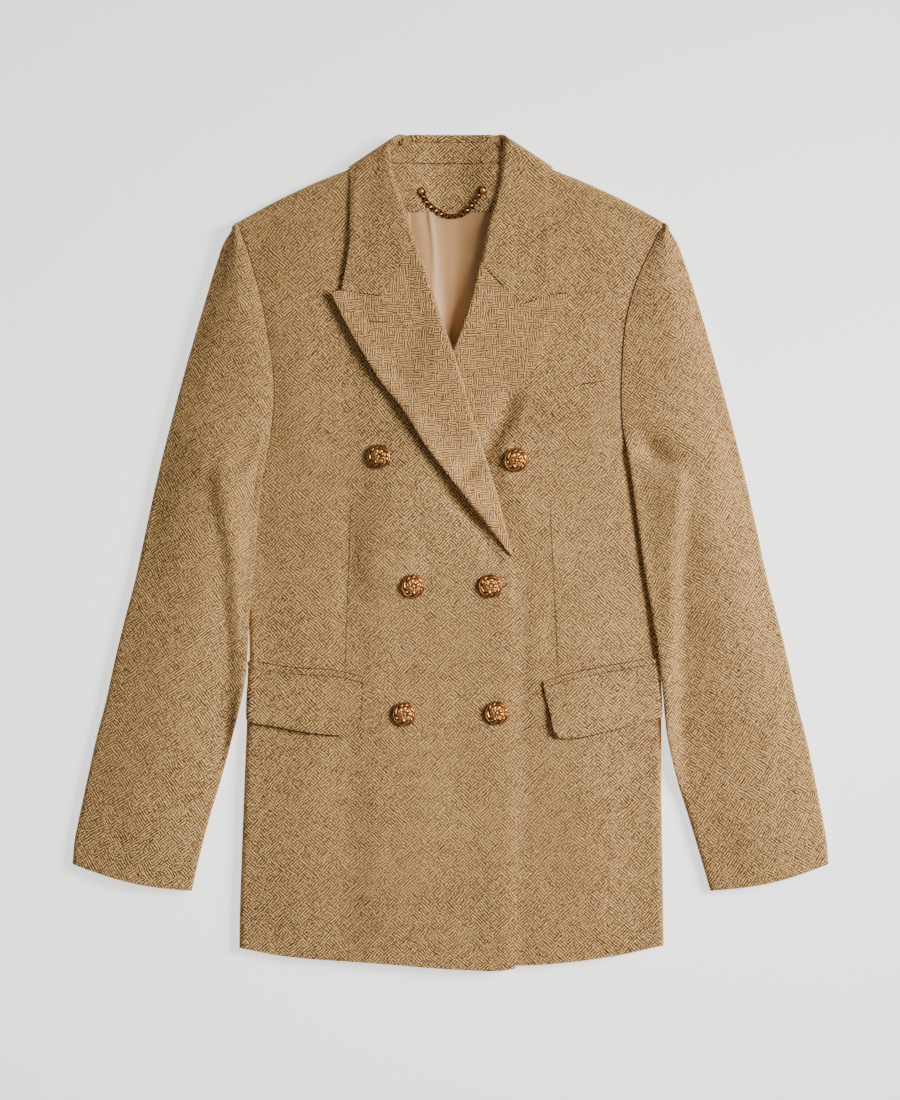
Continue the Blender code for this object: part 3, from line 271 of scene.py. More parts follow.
def creases(x, y, rows):  # each row: a soft bell across a short line, faded out towards its ends
    dz = 0.0
    for x0, y0, x1, y1, width, height in rows:
        dx, dy = x1 - x0, y1 - y0
        t = ((x - x0)*dx + (y - y0)*dy)/(dx*dx + dy*dy)
        bow = 5*np.sin(math.pi*t)*math.copysign(1, height)
        across = ((x - x0)*dy - (y - y0)*dx)/math.hypot(dx, dy) + bow
        dz = dz + height*np.exp(-(across/width)**2)*np.exp(-np.maximum(np.abs(t - 0.5) - 0.3, 0)**2/0.045)
    return dz


def fold(distance, reach, height):  # half an ellipse: cloth turned round an edge, then straight on
    quarter = math.pi/4*(reach + height/2)
    angle = np.clip(distance/quarter, -1, 1)*math.pi/2
    beyond = np.maximum(np.abs(distance) - quarter, 0)
    return reach*(1 - np.cos(angle)) + beyond, height/2*(1 + np.sin(angle))


sideTurn = math.pi/4*(body["sideReach"] + body["sideHeight"]/2) + body["sideUnder"]
shoulderTurn = math.pi/4*(body["shoulderReach"] + body["shoulderHeight"]/2) + body["shoulderUnder"]
shoulderAlong = unit(np.subtract(shoulderTip, shoulderNeck))
shoulderIn = np.array([shoulderAlong[1], -shoulderAlong[0]])


def shoulderBow(along):  # the padded shoulder rises a little past a straight line
    return 2.5*np.sin(math.pi*np.clip((np.asarray(along, float) - 47)/109, 0, 1))


def shoulderPoint(along, inward):
    along = np.asarray(along, float)[..., None]
    return shoulderNeck + along*shoulderAlong + (inward - shoulderBow(along))*shoulderIn


def fromShoulder(out, y):
    along = (out - shoulderNeck[0])*shoulderAlong[0] + (y - shoulderNeck[1])*shoulderAlong[1]
    return (out - shoulderNeck[0])*shoulderIn[0] + (y - shoulderNeck[1])*shoulderIn[1] + shoulderBow(along)


def neckLift(out, y):
    return body["collarLift"]*ease((y - body["neckY"] + body["fallDepth"] + 4)/26)*ease((150 - np.abs(out))/34)


lapelZone = [(-out, y) for y, out in halves["left"]["roll"] if y < 200] + [
    (-out, y) for out, y in halves["left"]["edge"][::-1] if y < 180]


def topHeight(out, y, half):
    low = body["sideHeight"]
    toSide = tableAt(half["side"], y) - out
    height = low + (tableAt(bodyHeight, y) - low)*ease(toSide/80) + neckLift(out, y)
    if half["over"]:
        height = height + 2.9*ease((body["overlap"] + 38 - out)/34)  # it lies over the left front
        height = height - 1.5*np.exp(-((out + body["overlap"])/2.6)**2)*ease((4 - y)/20)  # its edge is pressed down
        zone = distanceOutside(np.stack([out, y], axis=-1), lapelZone)
        height = height + 4.2*ease(1 - (zone - 6)/36)  # and it lies over the foot of the left lapel
    else:
        height = height - 1.5*np.exp(-((out - 68)/9)**2)*ease((-4 - y)/40)  # it dips beside the upper front's edge
    return height + creases(half["sign"]*out, y, bodyCreases)*ease(toSide/26)


def shoulderTop(out, y, half):
    blend = ease(fromShoulder(out, y)/55)
    return topHeight(out, y, half)*blend + (body["shoulderHeight"] + neckLift(out, y))*(1 - blend)


def frontFace(out, y, half):  # side and shoulder turn under as soft folds
    toSide = tableAt(half["side"], y) - out
    sideIn, sideZ = fold(toSide, body["sideReach"], body["sideHeight"])
    shoulderFar = fromShoulder(out, y)
    shoulderGone, shoulderZ = fold(shoulderFar, body["shoulderReach"], body["shoulderHeight"])
    atSide = y < 75
    newOut = np.where(atSide, out + (toSide - sideIn)*(1 - ease((toSide - 12)/90)), out)
    slide = (shoulderGone - shoulderFar)*(1 - ease((shoulderFar - 14)/80))
    newOut, newY = newOut + slide*shoulderIn[0], y + slide*shoulderIn[1]
    share = np.where(atSide, sideZ/body["sideHeight"], 1.0)*shoulderZ/body["shoulderHeight"]
    lift = neckLift(out, y)
    return np.stack([newOut, newY, lift + (shoulderTop(out, y, half) - lift)*share], axis=-1)


def armhole(half, shares, gap=0.4):
    low, at92 = body["armpit"], float(tableAt(half["inner"], 92))
    side = float(tableAt(half["side"], low))
    lower = [(side, low - 1), (side - 12, low + 1.5), (at92 + 9, 77), (at92 + 1.5, 88)]
    upper = tablePoints(half["inner"], (100, 120, 145, 170, 195, 220, 245, 268, 288, 303)) - (gap, 0)
    return curve(np.concatenate([lower, upper]), shares)


def cuts(total, first, last, count):  # shares of a length, close at both ends and even between them
    first, last = np.array(first)/total, 1 - np.array(last)/total
    return np.concatenate([first[:-1], np.linspace(first[-1], last[0], count), last[1:]])


def frontPlan(half, across=6, along=5):
    inset = 4.6
    turns = tuple(sideTurn + k for k in (30, 15, 7.5, 3, -1, -4.5, -8)) + (0, )  # cuts lie close where the cloth turns
    u = finer(cuts(257 + sideTurn, (0, ), turns, 11), across)
    turns = tuple(shoulderTurn + k for k in (45, 24, 12, 6, 1, -4, -9)) + (0, )
    hemCorner = (-body["overlap"], float(tableAt(half["hem"], -body["overlap"])))
    edge = [hemCorner, (-61.5, -277), (-61.5, -138), (-60.5, -16)]
    roll = tablePoints(half["roll"], (6, 40, 74, 100, 131, 174, 200, 235, 271, 300, 330, 352))
    roll[:, 0] += inset + 2.4*ease((roll[:, 1] - 215)/60)
    neck = np.array(shoulderNeck) + (3.0, -3.0)
    neckEnd = neck - shoulderIn*(shoulderTurn + fromShoulder(*neck))
    roll = np.concatenate([smoothLine(np.concatenate([roll, [neck]])), [neckEnd]])
    side = tablePoints(half["side"], (body["hemSide"], -287, -213, -166, -100, 0, 63)) + (sideTurn, 0)
    side[0, 1] = half["hem"][-1][1]
    hole = armhole(half, 300, gap=-0.5)
    hole[0] = (side[-1][0], 65)
    hole = np.concatenate([hole[hole[:, 1] < 296], [np.array(shoulderTip) - shoulderAlong - shoulderIn*shoulderTurn]])
    holeCuts = finer(cuts(lineLength(hole), (0, 14, 27, 38, 50), turns, 8), along)
    rollCuts = finer(cuts(lineLength(roll), (0, 14, 27, 38, 50), turns, 8), along)
    edgeCuts = finer(np.linspace(0, 1, 10), along)
    left = np.concatenate([curve(edge, edgeCuts), spaced(roll, rollCuts)])
    right = np.concatenate([curve(side, edgeCuts), spaced(hole, holeCuts)])
    bottomOut = left[0][0] + (right[0][0] - left[0][0])*u
    bottom = np.stack([bottomOut, tableAt(half["hem"], bottomOut)], axis=1)
    bottom[0], bottom[-1] = left[0], right[0]
    ends = [float((np.array(p) - shoulderNeck) @ shoulderAlong) for p in (left[-1], right[-1])]
    top = shoulderPoint(ends[0] + (ends[1] - ends[0])*u, -shoulderTurn)
    top[0], top[-1] = left[-1], right[-1]
    return patch(bottom, top, left, right, u, np.concatenate([0.52*edgeCuts, 0.54 + 0.46*holeCuts]))


# ---------- back and side panels, flat underneath ----------

sideSeamLine = ((-369, 119.0), (-240, 115.0), (-100, 112.0), (0, 117.0), (60, 131.0), (100, 148.0))
seamEnd = 128.0


def flatFace(plan):
    return np.concatenate([plan, neckLift(plan[..., 0], plan[..., 1])[..., None]], axis=-1)


def sideSeam(half, gap, shares):
    end = (float(tableAt(half["inner"], seamEnd)) - 1.6, seamEnd)
    return curve([(out, y) for y, out in sideSeamLine] + [end], shares) + (gap, 0)


def backPlan(half, steps=3):
    seamIn = fold(-shoulderTurn, body["shoulderReach"], body["shoulderHeight"])[0] + body["gap"]
    low = sideSeam(half, -body["gap"]/2, finer(np.linspace(0, 1, 10), steps))
    hole = armhole(half, 300)
    tip = np.array(shoulderTip) + shoulderIn*seamIn - shoulderAlong*5.0
    neck = np.array(shoulderNeck) + shoulderIn*seamIn + shoulderAlong*3
    hole = hole[(hole[:, 1] > 132) & (hole[:, 1] < tip[1] - 4)]
    high = spaced(np.concatenate([[low[-1]], hole, [tip]]),
                  finer((0, 0.08, 0.22, 0.38, 0.52, 0.66, 0.76, 0.84, 0.92, 1.0), steps)[1:])
    centre = finer(np.concatenate([np.linspace(body["hemBack"], seamEnd, 10),
                                   (150, 200, 250, 290, 312, 322, 331, 341, body["neckY"])]), steps)
    left = np.stack([np.full(len(centre), body["gap"]/2), centre], axis=1)
    right = np.concatenate([low, high])
    shoulder = shoulderPoint(np.linspace(8, 148, 15), seamIn)
    neckLine = [left[-1], (30, body["neckY"] + 0.5), (46, body["neckY"] + 2), neck]
    top = spaced(np.concatenate([neckLine, shoulder, [tip]]), 6*steps + 1)
    bottom = spaced([left[0], right[0]], 6*steps + 1)
    return patch(bottom, top, left, right, None, (centre - centre[0])/(centre[-1] - centre[0]))


def sidePlan(half, rows=37, columns=22):
    seamIn = fold(-sideTurn, body["sideReach"], body["sideHeight"])[0]
    left = sideSeam(half, body["gap"]/2, rows)
    y = np.linspace(body["hemSide"], 64, rows)
    right = np.stack([tableAt(half["side"], y) - seamIn - 2*body["gap"], y], axis=1)
    hole = armhole(half, 300)
    hole = hole[(hole[:, 1] < 127) & (hole[:, 0] < tableAt(half["side"], 66) - 14)][::-1]
    top = spaced(np.concatenate([[left[-1]], hole, [right[-1]]]), columns)
    return patch(spaced([left[0], right[0]], columns), top, left, right)


# ---------- sleeves: flat tubes, draped over the body's edge below the armhole ----------

sleeve = dict(reach=6.0, under=9.0, seamDip=0.35, axis=10.5)
sleeveHeight = ((-316, 13.5, 8.5), (-200, 16.0, 9.0), (-60, 20.0, 9.5), (60, 24.0, 10.0), (170, 26.0, 11.0),
                (250, 24.5, 12.0), (303, 17.0, 13.0))
sleeveRows = finer((306.5, 287, 264, 236, 205, 174, 146, 126, 112, 101, 92, 82, 66, 42, 10, -32, -78, -125, -172,
                    -220, -268, -316), 5)


def bodyOutline(half):
    side = [(float(tableAt(half["side"], y)), y) for y in (-389, -287, -213, -166, -100, 0, 66)]
    return side + [tuple(p) for p in armhole(half, 24)[1:]] + [(0, 380), (0, -389)]


def sleeveFloor(points, half):  # height of what the sleeve lies on: the body's edge, running out to the ground
    out, y = points[..., 0], points[..., 1]
    outside = distanceOutside(points, bodyOutline(half))
    resting = topHeight(np.minimum(out, tableAt(half["side"], y)), y, half) + 2.2
    return ease((124 - y)/34)*resting*ease((22 - outside)/17)


def closedShare(y):  # 1 where the sleeve is a closed tube, 0 where it is sewn into the armhole
    return ease((122 - y)/32)


def sleeveEnds(half):
    share = (sleeveRows[0] - sleeveRows)/(sleeveRows[0] - sleeveRows[-1])
    outerY = sleeveRows - 4.5*(1 - ease(share*8)) + 25*share
    shift = half["sleeveShift"]*ease((290 - outerY)/60)*ease((outerY + 292)/120)
    inner = np.stack([tableAt(half["inner"], sleeveRows) + 0.1*ease((sleeveRows - 80)/16), sleeveRows], axis=1)
    return inner[::-1], np.stack([tableAt(outerLine, outerY) + shift, outerY], axis=1)[::-1]


def cuffBow(along, width, y):  # the cuff hangs a little lower in its middle
    bow = 5.0*ease((-180 - y)/136)*np.sin(math.pi*np.clip(along/width, 0, 1))
    return np.stack([0*bow, -bow], axis=-1)


def sleeveSection(inner, outer, half):
    across = outer - inner
    width = float(np.linalg.norm(across))
    across = across/width
    free = float(closedShare(inner[1]))
    crown, edge = float(tableAt(sleeveHeight, inner[1])), float(tableAt(sleeveHeight, inner[1], 2))
    reach, under = min(sleeve["reach"], 0.35*width), min(sleeve["under"], 0.3*width)
    seamHeight = float(frontFace(np.array(inner[0] - 1.0), np.array(inner[1]), half)[2])
    pressed = edge*(1 - 0.42*free*ease((inner[1] + 250)/90))  # the inner fold lies flatter over the body
    start = pressed*free + seamHeight*(1 - free)
    angle = np.radians(np.linspace(-90, 90, 13))

    def crowned(along):
        t = np.clip((along - reach*free)/(width - reach - reach*free), 0, 1)
        dip = sleeve["seamDip"]*(1 - free)*np.exp(-(along/2.2)**2)
        full = (0.52 + 0.3*free)*max(crown - (start + edge)/2, 0)*(1.0 if half["sign"] > 0 else 1.2)
        return start + (edge - start)*t + full*np.sin(math.pi*t**(1.3 if half["sign"] > 0 else 0.85))**0.9 - dip

    run = np.array((1, 0.66, 0.33))  # columns turned under, then the inner fold, the top, the outer fold
    foldAlong = np.concatenate([reach + under*run, reach*(1 - np.cos(angle))])
    foldUp = pressed/2*(1 + np.sin(np.concatenate([angle[:1]]*3 + [angle])))
    along = free*foldAlong + (1 - free)*np.linspace(0, 5, 16)*min(1.6, 0.05*width)
    along -= along.min()
    height = free*foldUp + (1 - free)*crowned(along)
    middle = np.linspace(along[-1], width - reach, 34)[1:-1]
    along = np.concatenate([along, middle, width - reach + reach*np.cos(angle[::-1]),
                            width - reach - under*run[::-1]])
    height = np.concatenate([height, crowned(middle), edge/2*(1 + np.sin(angle[::-1])), [0.0]*3])
    plan = inner + along[:, None]*across + cuffBow(along, width, inner[1])
    floor = sleeveFloor(plan, half)
    inside = np.ones(len(along))
    inside[-16:] = ease((np.sin(angle[::-1].tolist() + [-math.pi/2]*3) + 0.2)/1.2)
    inside[:16] = free*ease((np.sin([-math.pi/2]*3 + angle.tolist()) + 0.2)/1.2) + (1 - free)*ease(along[:16]/14)
    height = height*(1 - 0.25*floor/14) + creases(half["sign"]*plan[:, 0], plan[:, 1], sleeveCreases)*inside
    points = np.concatenate([plan, (floor + np.maximum(height, 0))[:, None]], axis=1)
    arc = arcs(points)
    return points, inner + (arc - arc[32] + np.dot(plan[32] - inner, across))[:, None]*across


def underSleeve(half, columns=24):
    rows = []
    for a, b in zip(*sleeveEnds(half)):
        width = float(np.linalg.norm(b - a))
        free = float(closedShare(a[1]))
        reach, under = min(sleeve["reach"], 0.35*width), min(sleeve["under"], 0.3*width)
        start = (reach + under + 3.2*body["gap"])*free + 0.2
        end = max(width - reach - under - body["gap"], start + 1.0)
        along = np.linspace(start, end, columns)
        plan = a + along[:, None]*(b - a)/width + cuffBow(along, width, a[1])
        rows.append(np.concatenate([plan, sleeveFloor(plan, half)[:, None]], axis=1))
    return np.stack(rows)


# ---------- lapels and collar ----------

turnOut = dict(wall=2.4, reach=4.0, height=8.0)  # height of the roll: cloth, front's edge, cloth


def lapelHeight(out, y, half):
    return shoulderTop(out, y, half) + body["gap"] + turnOut["wall"] + 0.2


def lapelGrid(half, rows=81):
    gorge = np.array(half["gorge"][::-1], float)
    rollY = (-4, 17, 47, 74, 100, 131, 174, 200, 227, 250)
    low = tablePoints(half["roll"], [y for y in rollY if y < gorge[0, 1] - 5])
    roll = curve(np.concatenate([low, gorge[:1]]), rows)
    edge = curve(half["edge"], rows)
    plan = patch(spaced([roll[0], edge[0]], 80), spaced(gorge, 80), roll, edge)
    quarter = math.pi/4*(turnOut["reach"] + turnOut["height"]/2)
    corner = (lineLength(gorge[:2]) - turnOut["reach"])/(lineLength(gorge) - turnOut["reach"])
    shares = np.concatenate([np.linspace(0, corner, 17), np.linspace(corner, 1, 17)[1:]])  # one falls on the notch
    grid, grain = [], []
    for row, line in enumerate(plan):
        if row == rows - 1:
            line = gorge
        y, length = line[0, 1], lineLength(line)
        shown = float(ease((y - 196)/26))
        reach = min(turnOut["reach"], 0.5*length)
        start = -(0.15*quarter + (0.85*quarter + 3.0)*shown)
        along = np.concatenate([np.linspace(start, quarter, 17)[:-1], quarter + shares*(length - reach)])
        inward, rise = fold(along, reach, turnOut["height"] + 2.0*shown)
        at = lineAt(line, inward)
        height = lapelHeight(at[:, 0], at[:, 1], half) - turnOut["height"] + rise
        high = ease(2*rise/turnOut["height"] - 1)
        settle = 2.0*shown*(1 - ease(1 - inward/26))
        seen = ease(row*16/(rows - 1)/2.6 - 0.2) if half["over"] else ease((y - 120)/40)
        clear = (4.0 if half["over"] else 1.5)*seen*ease(1 - (length - inward)/26)
        edgeRound = 0.7*np.exp(-((length - inward)/1.1)**2)
        grid.append(np.concatenate([at, (height + high*(clear - settle) - edgeRound)[:, None]], axis=1))
        way = (line[-1] - line[0])/max(length, 1e-6)
        grain.append(np.where((along > quarter)[:, None], at, line[0] + (along + reach - quarter)[:, None]*way))
    return np.stack(grid), np.stack(grain)


def rolledRow(leaf, normal, toward, radius, leg):  # leaf, half a circle round the fold, and a short leg back
    toward = unit(toward - normal*(toward @ normal))
    centre = leaf[-1] - normal*radius
    ring = [centre + radius*(math.cos(a)*normal - math.sin(a)*toward) for a in np.linspace(0, math.pi, 13)[1:]]
    return np.array(list(leaf) + ring + [ring[-1] + toward*leg])


def shifted(line, distance):
    line = np.asarray(line, float)
    way = unit(np.gradient(line, axis=0))
    return line + distance*np.stack([-way[:, 1], way[:, 0]], axis=1)


# round the neck corner: turn in degrees, out and y where the leaf meets the roll, way the roll faces
neckCorner = ((23, 55.3, 380.8, 0.83, -0.56), (53, 52.7, 384.7, 0.7, -0.7), (85, 50.4, 387.3, 0.54, -0.84),
              (117, 48.4, 387.4, 0.33, -0.94), (146, 46.8, 386.2, 0.17, -0.98))


def collarHalf(half, leafColumns=19):
    up, ahead = np.array([0.0, 0.0, 1.0]), np.array([0.0, 1.0, 0.0])
    radius, count = (turnOut["height"] + 2.0)/2, 33
    notch, corner, rollEnd = shifted(half["gorge"][1:], np.array([[-0.35], [-0.4], [-0.5]]))
    seam = spaced([corner, rollEnd], 81)
    seam = seam[seam[:, 0] > tableAt(half["roll"], seam[:, 1]) + radius]
    edge = curve([notch] + list(collarEdge[1:]), count)
    rollY = np.linspace(seam[-1, 1], 376, count)
    roll = np.stack([tableAt(half["roll"], rollY) + radius, rollY], axis=1)
    bottom = np.concatenate([spaced([notch, corner], 10), spaced([corner, roll[0]], 10)[1:]])
    rows, flatRows = [], count
    share = np.linspace(0, 1, leafColumns)
    for k, line in enumerate(patch(bottom, spaced([edge[-1], roll[-1]], leafColumns), edge, roll)):
        height = lapelHeight(line[:, 0], line[:, 1], half) + 2.0*ease(share*2 - 1)
        height += (1.8 if half["over"] else 1.2)*ease(1 - share*3)*ease((9 - k/4)/5) - 0.7*np.exp(-(share/0.016)**2)
        height -= 1.3*ease((k - 12)/16)*ease(1 - share*6)
        leaf = np.concatenate([line, height[:, None]], axis=1)
        rows.append(rolledRow(leaf, up, leaf[-2] - leaf[-1], radius, 0.6))
    outward = np.append(-shoulderIn, 0.0)
    topEdge, topFold = rows[-1][0], rows[-1][leafColumns - 1]
    # the five listed stations, joined to the front's own end by smooth curves
    keys = ((0.0, roll[-1][0], roll[-1][1], 1.0, -0.35), ) + neckCorner
    for degrees in np.linspace(8, 100, 14):
        out, y, towardOut, towardY = (float(tableAt(keys, degrees, c)) for c in (1, 2, 3, 4))
        angle = math.radians(degrees)
        turn = (1 + math.cos(angle))/2
        leafEnd = np.array(collarShoulder) + shoulderIn*7*(1 - math.sin(max(angle, math.radians(23))))
        if degrees < 23:
            t = ease(degrees/23)
            leafEnd = topEdge[:2]*(1 - t) + leafEnd*t
        edgePoint = np.append(leafEnd, topEdge[2]*turn)
        foldPoint = np.array([out, y, topFold[2]*turn + 5.4*float(ease(degrees/70))*(1 - turn)])
        normal = outward*math.sin(angle) + up*math.cos(angle)
        toward = np.array([towardOut, towardY, 0.0])
        leaf = np.linspace(edgePoint, foldPoint, leafColumns)
        rows.append(rolledRow(leaf, normal, toward, radius - 1.0 + turn, 0.4))
    backRadius = turnOut["height"]/2
    turnedRow, backRows = rows[-1], []
    for s in 1 - np.linspace(0.12, 1, 19):  # from the corner to the middle of the back
        edgePoint = np.array([83.0*s, body["foldY"] - body["fallDepth"] + 6*s**2, 0.0])
        foldPoint = np.array([42.4*s, body["foldY"] - backRadius - 0.3*s**2, float(neckClimb(42.4*s))])
        leg = foldPoint[1] - body["standY"] - body["gap"]/2
        backRows.append(rolledRow(np.linspace(edgePoint, foldPoint, leafColumns), -up, -ahead, backRadius, leg))
    rows += [turnedRow + (backRows[0] - turnedRow)*float(ease(t)) for t in np.linspace(0, 1, 10)[1:-1]]
    rows = np.stack(rows + backRows)
    # grain: the leaf's own x, y where it lies flat, then each column's own length further round the neck
    grain = rows[..., :2].copy()
    for k in range(flatRows, len(rows)):
        grain[k] = grain[k - 1] + (0, 1)*np.linalg.norm(rows[k] - rows[k - 1], axis=1)[:, None]
    arc = np.cumsum(np.linalg.norm(np.diff(rows, axis=1), axis=2), axis=1)
    way = unit(grain[:, leafColumns - 1] - grain[:, leafColumns - 3])
    beyond = (arc[:, leafColumns - 1:] - arc[:, leafColumns - 2:leafColumns - 1])[..., None]
    grain[:, leafColumns:] = grain[:, leafColumns - 1:leafColumns] + beyond*way[:, None]
    return rows, grain


# ---------- inside the neck ----------

def neckClimb(x):  # the inside of the neck rises to meet the rolled edges at its two ends
    return 5.4*ease((np.abs(x) - 6)/38)


def insideHeight(x, y):
    return body["wall"] + neckLift(np.abs(x), y)


facing = dict(wall=1.6, low=316.0, left=-59.0, right=(57.0, 53.0), puff=2.6)
lining = dict(wall=1.0, low=168.0, halfLow=22.0, halfHigh=54.0, highest=16.2)
# lining pleats: x at the top, lean towards the hem, width, height
pleats = ((-41, 0.62, 1.6, 1.6), (-30, 0.58, 6, 0.8), (-19.5, 0.55, 2.2, 2.6), (-11, 0.3, 6, 0.5),
          (2, 0.9, 13, 0.6), (16, 0.4, 9, 0.4), (29, 0.5, 4, 1.2), (42, 0.6, 4, 0.8))


def standGrid(rows=9, columns=41):
    y = np.linspace(body["neckY"] + 0.1, body["standY"] - 0.1, rows)
    keys = (body["neckY"], 375.0, 381.0)
    left, right, height = (np.interp(y, keys, values) for values in
                           ((-59.0, -58.0, -52.0), (54.0, 54.0, 51.0), (7.6, 7.6, 7.2)))
    x = left[:, None] + (right - left)[:, None]*np.linspace(0, 1, columns)
    soft = 0.25*np.sin(x/9.0) + 0.2*np.sin(x/5.3 + 1) - 0.5*np.exp(-((y - y[0])/1.2)**2)[:, None]
    low = 1 - (y[:, None] - y[0])/(y[-1] - y[0])
    climb = neckClimb(x) + (facing["puff"] + 2.2*ease((np.abs(x) - 44)/9))*ease(low*1.4)
    tucked = ease((np.abs(x) - 36)/8)*(1 - low)**2  # the upper corners go on under the rolled collar
    return np.stack([x, y[:, None] + 2.8*tucked, height[:, None] + soft + climb - 0.9*tucked], axis=-1)


def facingGrid(rows=25, columns=61):
    y = np.linspace(facing["low"], body["neckY"] - 0.4, rows)
    right = np.linspace(*facing["right"], rows)
    x = facing["left"] + (right - facing["left"])[:, None]*np.linspace(0, 1, columns)
    z = insideHeight(x, y[:, None] + 0*x) + 0.8 + facing["wall"] + 0.35*np.sin(x/11 + 0.6)
    z += 0.2*np.sin(x/6.1 + y[:, None]/17)
    z -= 0.4*np.exp(-((y - y[0])/1.4)**2)[:, None] + 0.4*np.exp(-((y - y[-1])/1.4)**2)[:, None]
    z += facing["puff"] + neckClimb(x*(1 + 0.25*(y[-1] - y[:, None])/45))*1.25
    return np.stack([x, y[:, None] + 0*x, z], axis=-1)


def liningGrid(rows=61, columns=111):
    y = np.linspace(lining["low"], facing["low"] - 0.2, rows)
    x = np.linspace(lining["halfLow"], lining["halfHigh"], rows)[:, None]*np.linspace(-1, 1, columns)
    y = np.repeat(y[:, None], columns, axis=1)
    long = facing["low"] - lining["low"]
    fall = (facing["low"] - y)/long
    z = insideHeight(x, y) + 0.7 + lining["wall"] + facing["puff"]
    z += neckClimb(x*(1.25 + 1.6*fall))*0.9 + 4.2*ease(fall*2.2)
    for centre, lean, width, tall in pleats:
        middle = centre*(1 - (1 - lean)*fall) + 1.6*np.sin(y/19 + centre)
        bump = np.exp(-((x - middle)/(width*(1 + 1.2*fall)))**2)
        z += tall*(0.3 + 0.7*np.exp(-7*fall))*bump*ease(fall*long/8 + 0.4)
    return np.stack([x, y, np.minimum(z + 0.2*np.sin(y/13 + x/7)*ease(fall*6), lining["highest"])], axis=-1)


# ---------- pockets ----------

flaps = {
    "right": dict(top=((82.6, -122.5), (100, -118.0), (147, -114.0), (183, -108.5)), end=185.8,
                  front=((82.8, -132), (83.2, -144), (84.2, -157), (86.6, -164.5)),
                  bottom=((91.5, -169.0), (104, -170.3), (118, -169.6), (143, -166.0), (163, -162.0), (184, -157.5))),
    "left": dict(top=((86.5, -127.0), (110, -120.0), (146, -112.5), (184, -106.0)), end=192.6,
                 front=((88.8, -136), (91.6, -147), (94.0, -158), (96.4, -167.5)),
                 bottom=((101.5, -173.0), (112, -173.4), (122, -172.0), (146, -166.5), (170, -160.5), (188, -155.0))),
}
pocket = dict(jet=5.2, jetWall=1.4, lift=2.6)
pocketCuts = finer(np.concatenate([np.linspace(0, 0.9, 9), (0.93, 0.955, 0.98, 1.0)]), 6)
welt = dict(corners=((71.0, 115.0), (139.0, 131.0), (143.0, 158.0), (81.0, 148.0)))


def onFront(half, plan, wall, clear):
    base = frontFace(plan[..., 0], plan[..., 1], half)
    return base + gridNormals(base)*(body["gap"] + clear + wall)[..., None]


def flapPlan(side, rows=37):
    flap = flaps[side]
    top = curve(list(flap["top"]) + [(flap["end"], flap["top"][-1][1] + 1.0)], pocketCuts)
    bottom = curve(list(flap["bottom"]) + [(flap["end"] - 0.5, flap["bottom"][-1][1] + 1.0)], pocketCuts)
    front = curve([bottom[0]] + list(flap["front"][::-1]) + [top[0]], rows)
    return patch(bottom, top, front, spaced([bottom[-1], top[-1]], rows), pocketCuts)


def edgeRounding(plan, width, deep):  # how much a turned-in edge drops, from the distance to the grid's border
    rows, columns = plan.shape[:2]
    d = np.full((rows, columns), 1e9)
    for line in (plan[0], plan[:, 0], plan[:, -1]):
        for k in range(0, len(line) - 1, 3):
            a, b = line[k], line[min(k + 3, len(line) - 1)]
            t = np.clip(((plan - a) @ (b - a))/max((b - a) @ (b - a), 1e-9), 0, 1)
            d = np.minimum(d, np.linalg.norm(plan - a - t[..., None]*(b - a), axis=-1))
    return -deep*np.exp(-(d/width)**2)


# ---------- materials ----------

def colour(*screen):  # screen values to the shader's own
    shares = (value/255 for value in screen)
    return tuple(float(s/12.92 if s <= 0.04045 else ((s + 0.055)/1.055)**2.4) for s in shares) + (1.0, )


def newNode(tree, kind, values=(), **settings):  # values: outputs to link or plain values, by input name or number
    node = tree.nodes.new("ShaderNode" + kind)
    for key, value in settings.items():
        setattr(node, key, value)
    for key, value in dict(values).items():
        if hasattr(value, "is_output"):
            tree.links.new(value, node.inputs[key])
        else:
            node.inputs[key].default_value = value
    return node


def newMaterial(name, values):
    material = bpy.data.materials.new(name)
    material.use_nodes = True
    shader = material.node_tree.nodes["Principled BSDF"]
    for key, value in values.items():
        shader.inputs[key].default_value = value
    return material, material.node_tree, shader


def plainMaterial(name, tint, rough=0.95, more=()):
    return newMaterial(name, {"Base Color": tint, "Roughness": rough, **dict(more)})[0]


def mathNode(tree, operation, *values):
    return newNode(tree, "Math", enumerate(values), operation=operation).outputs[0]


def mixColour(tree, share, a, b):
    return newNode(tree, "Mix", {0: share, 6: colour(*a), 7: colour(*b)}, data_type="RGBA").outputs[2]


def noise(tree, vector, scale, detail=2.0, output="Fac"):
    return newNode(tree, "TexNoise", {"Vector": vector, "Scale": scale, "Detail": detail}).outputs[output]


def softStep(tree, value, low, high):
    return newNode(tree, "MapRange", {0: value, 1: low, 2: high}, interpolation_type="SMOOTHSTEP").outputs[0]


def grainPlace(tree):
    return newNode(tree, "UVMap", uv_map="grain").outputs[0]


# the grain's unit is 1 cm: distance of two yarns, width of a block, length of a dash, two colours, how far the rows
# wander, height of a yarn in metres, how far a yarn is broken into dashes, weights of fuzz, single yarns and clouds
bodyWeave = dict(pitch=0.219, block=0.62, dash=0.46, light=(232, 185, 121), dark=(82, 52, 25), wander=0.13,
                 relief=0.0008, broken=0.25, fuzz=1.15, own=0.22, cloud=0.14)
lapelWeave = dict(bodyWeave, block=0.48, light=(225, 178, 117), dark=(106, 71, 37), broken=0.2)


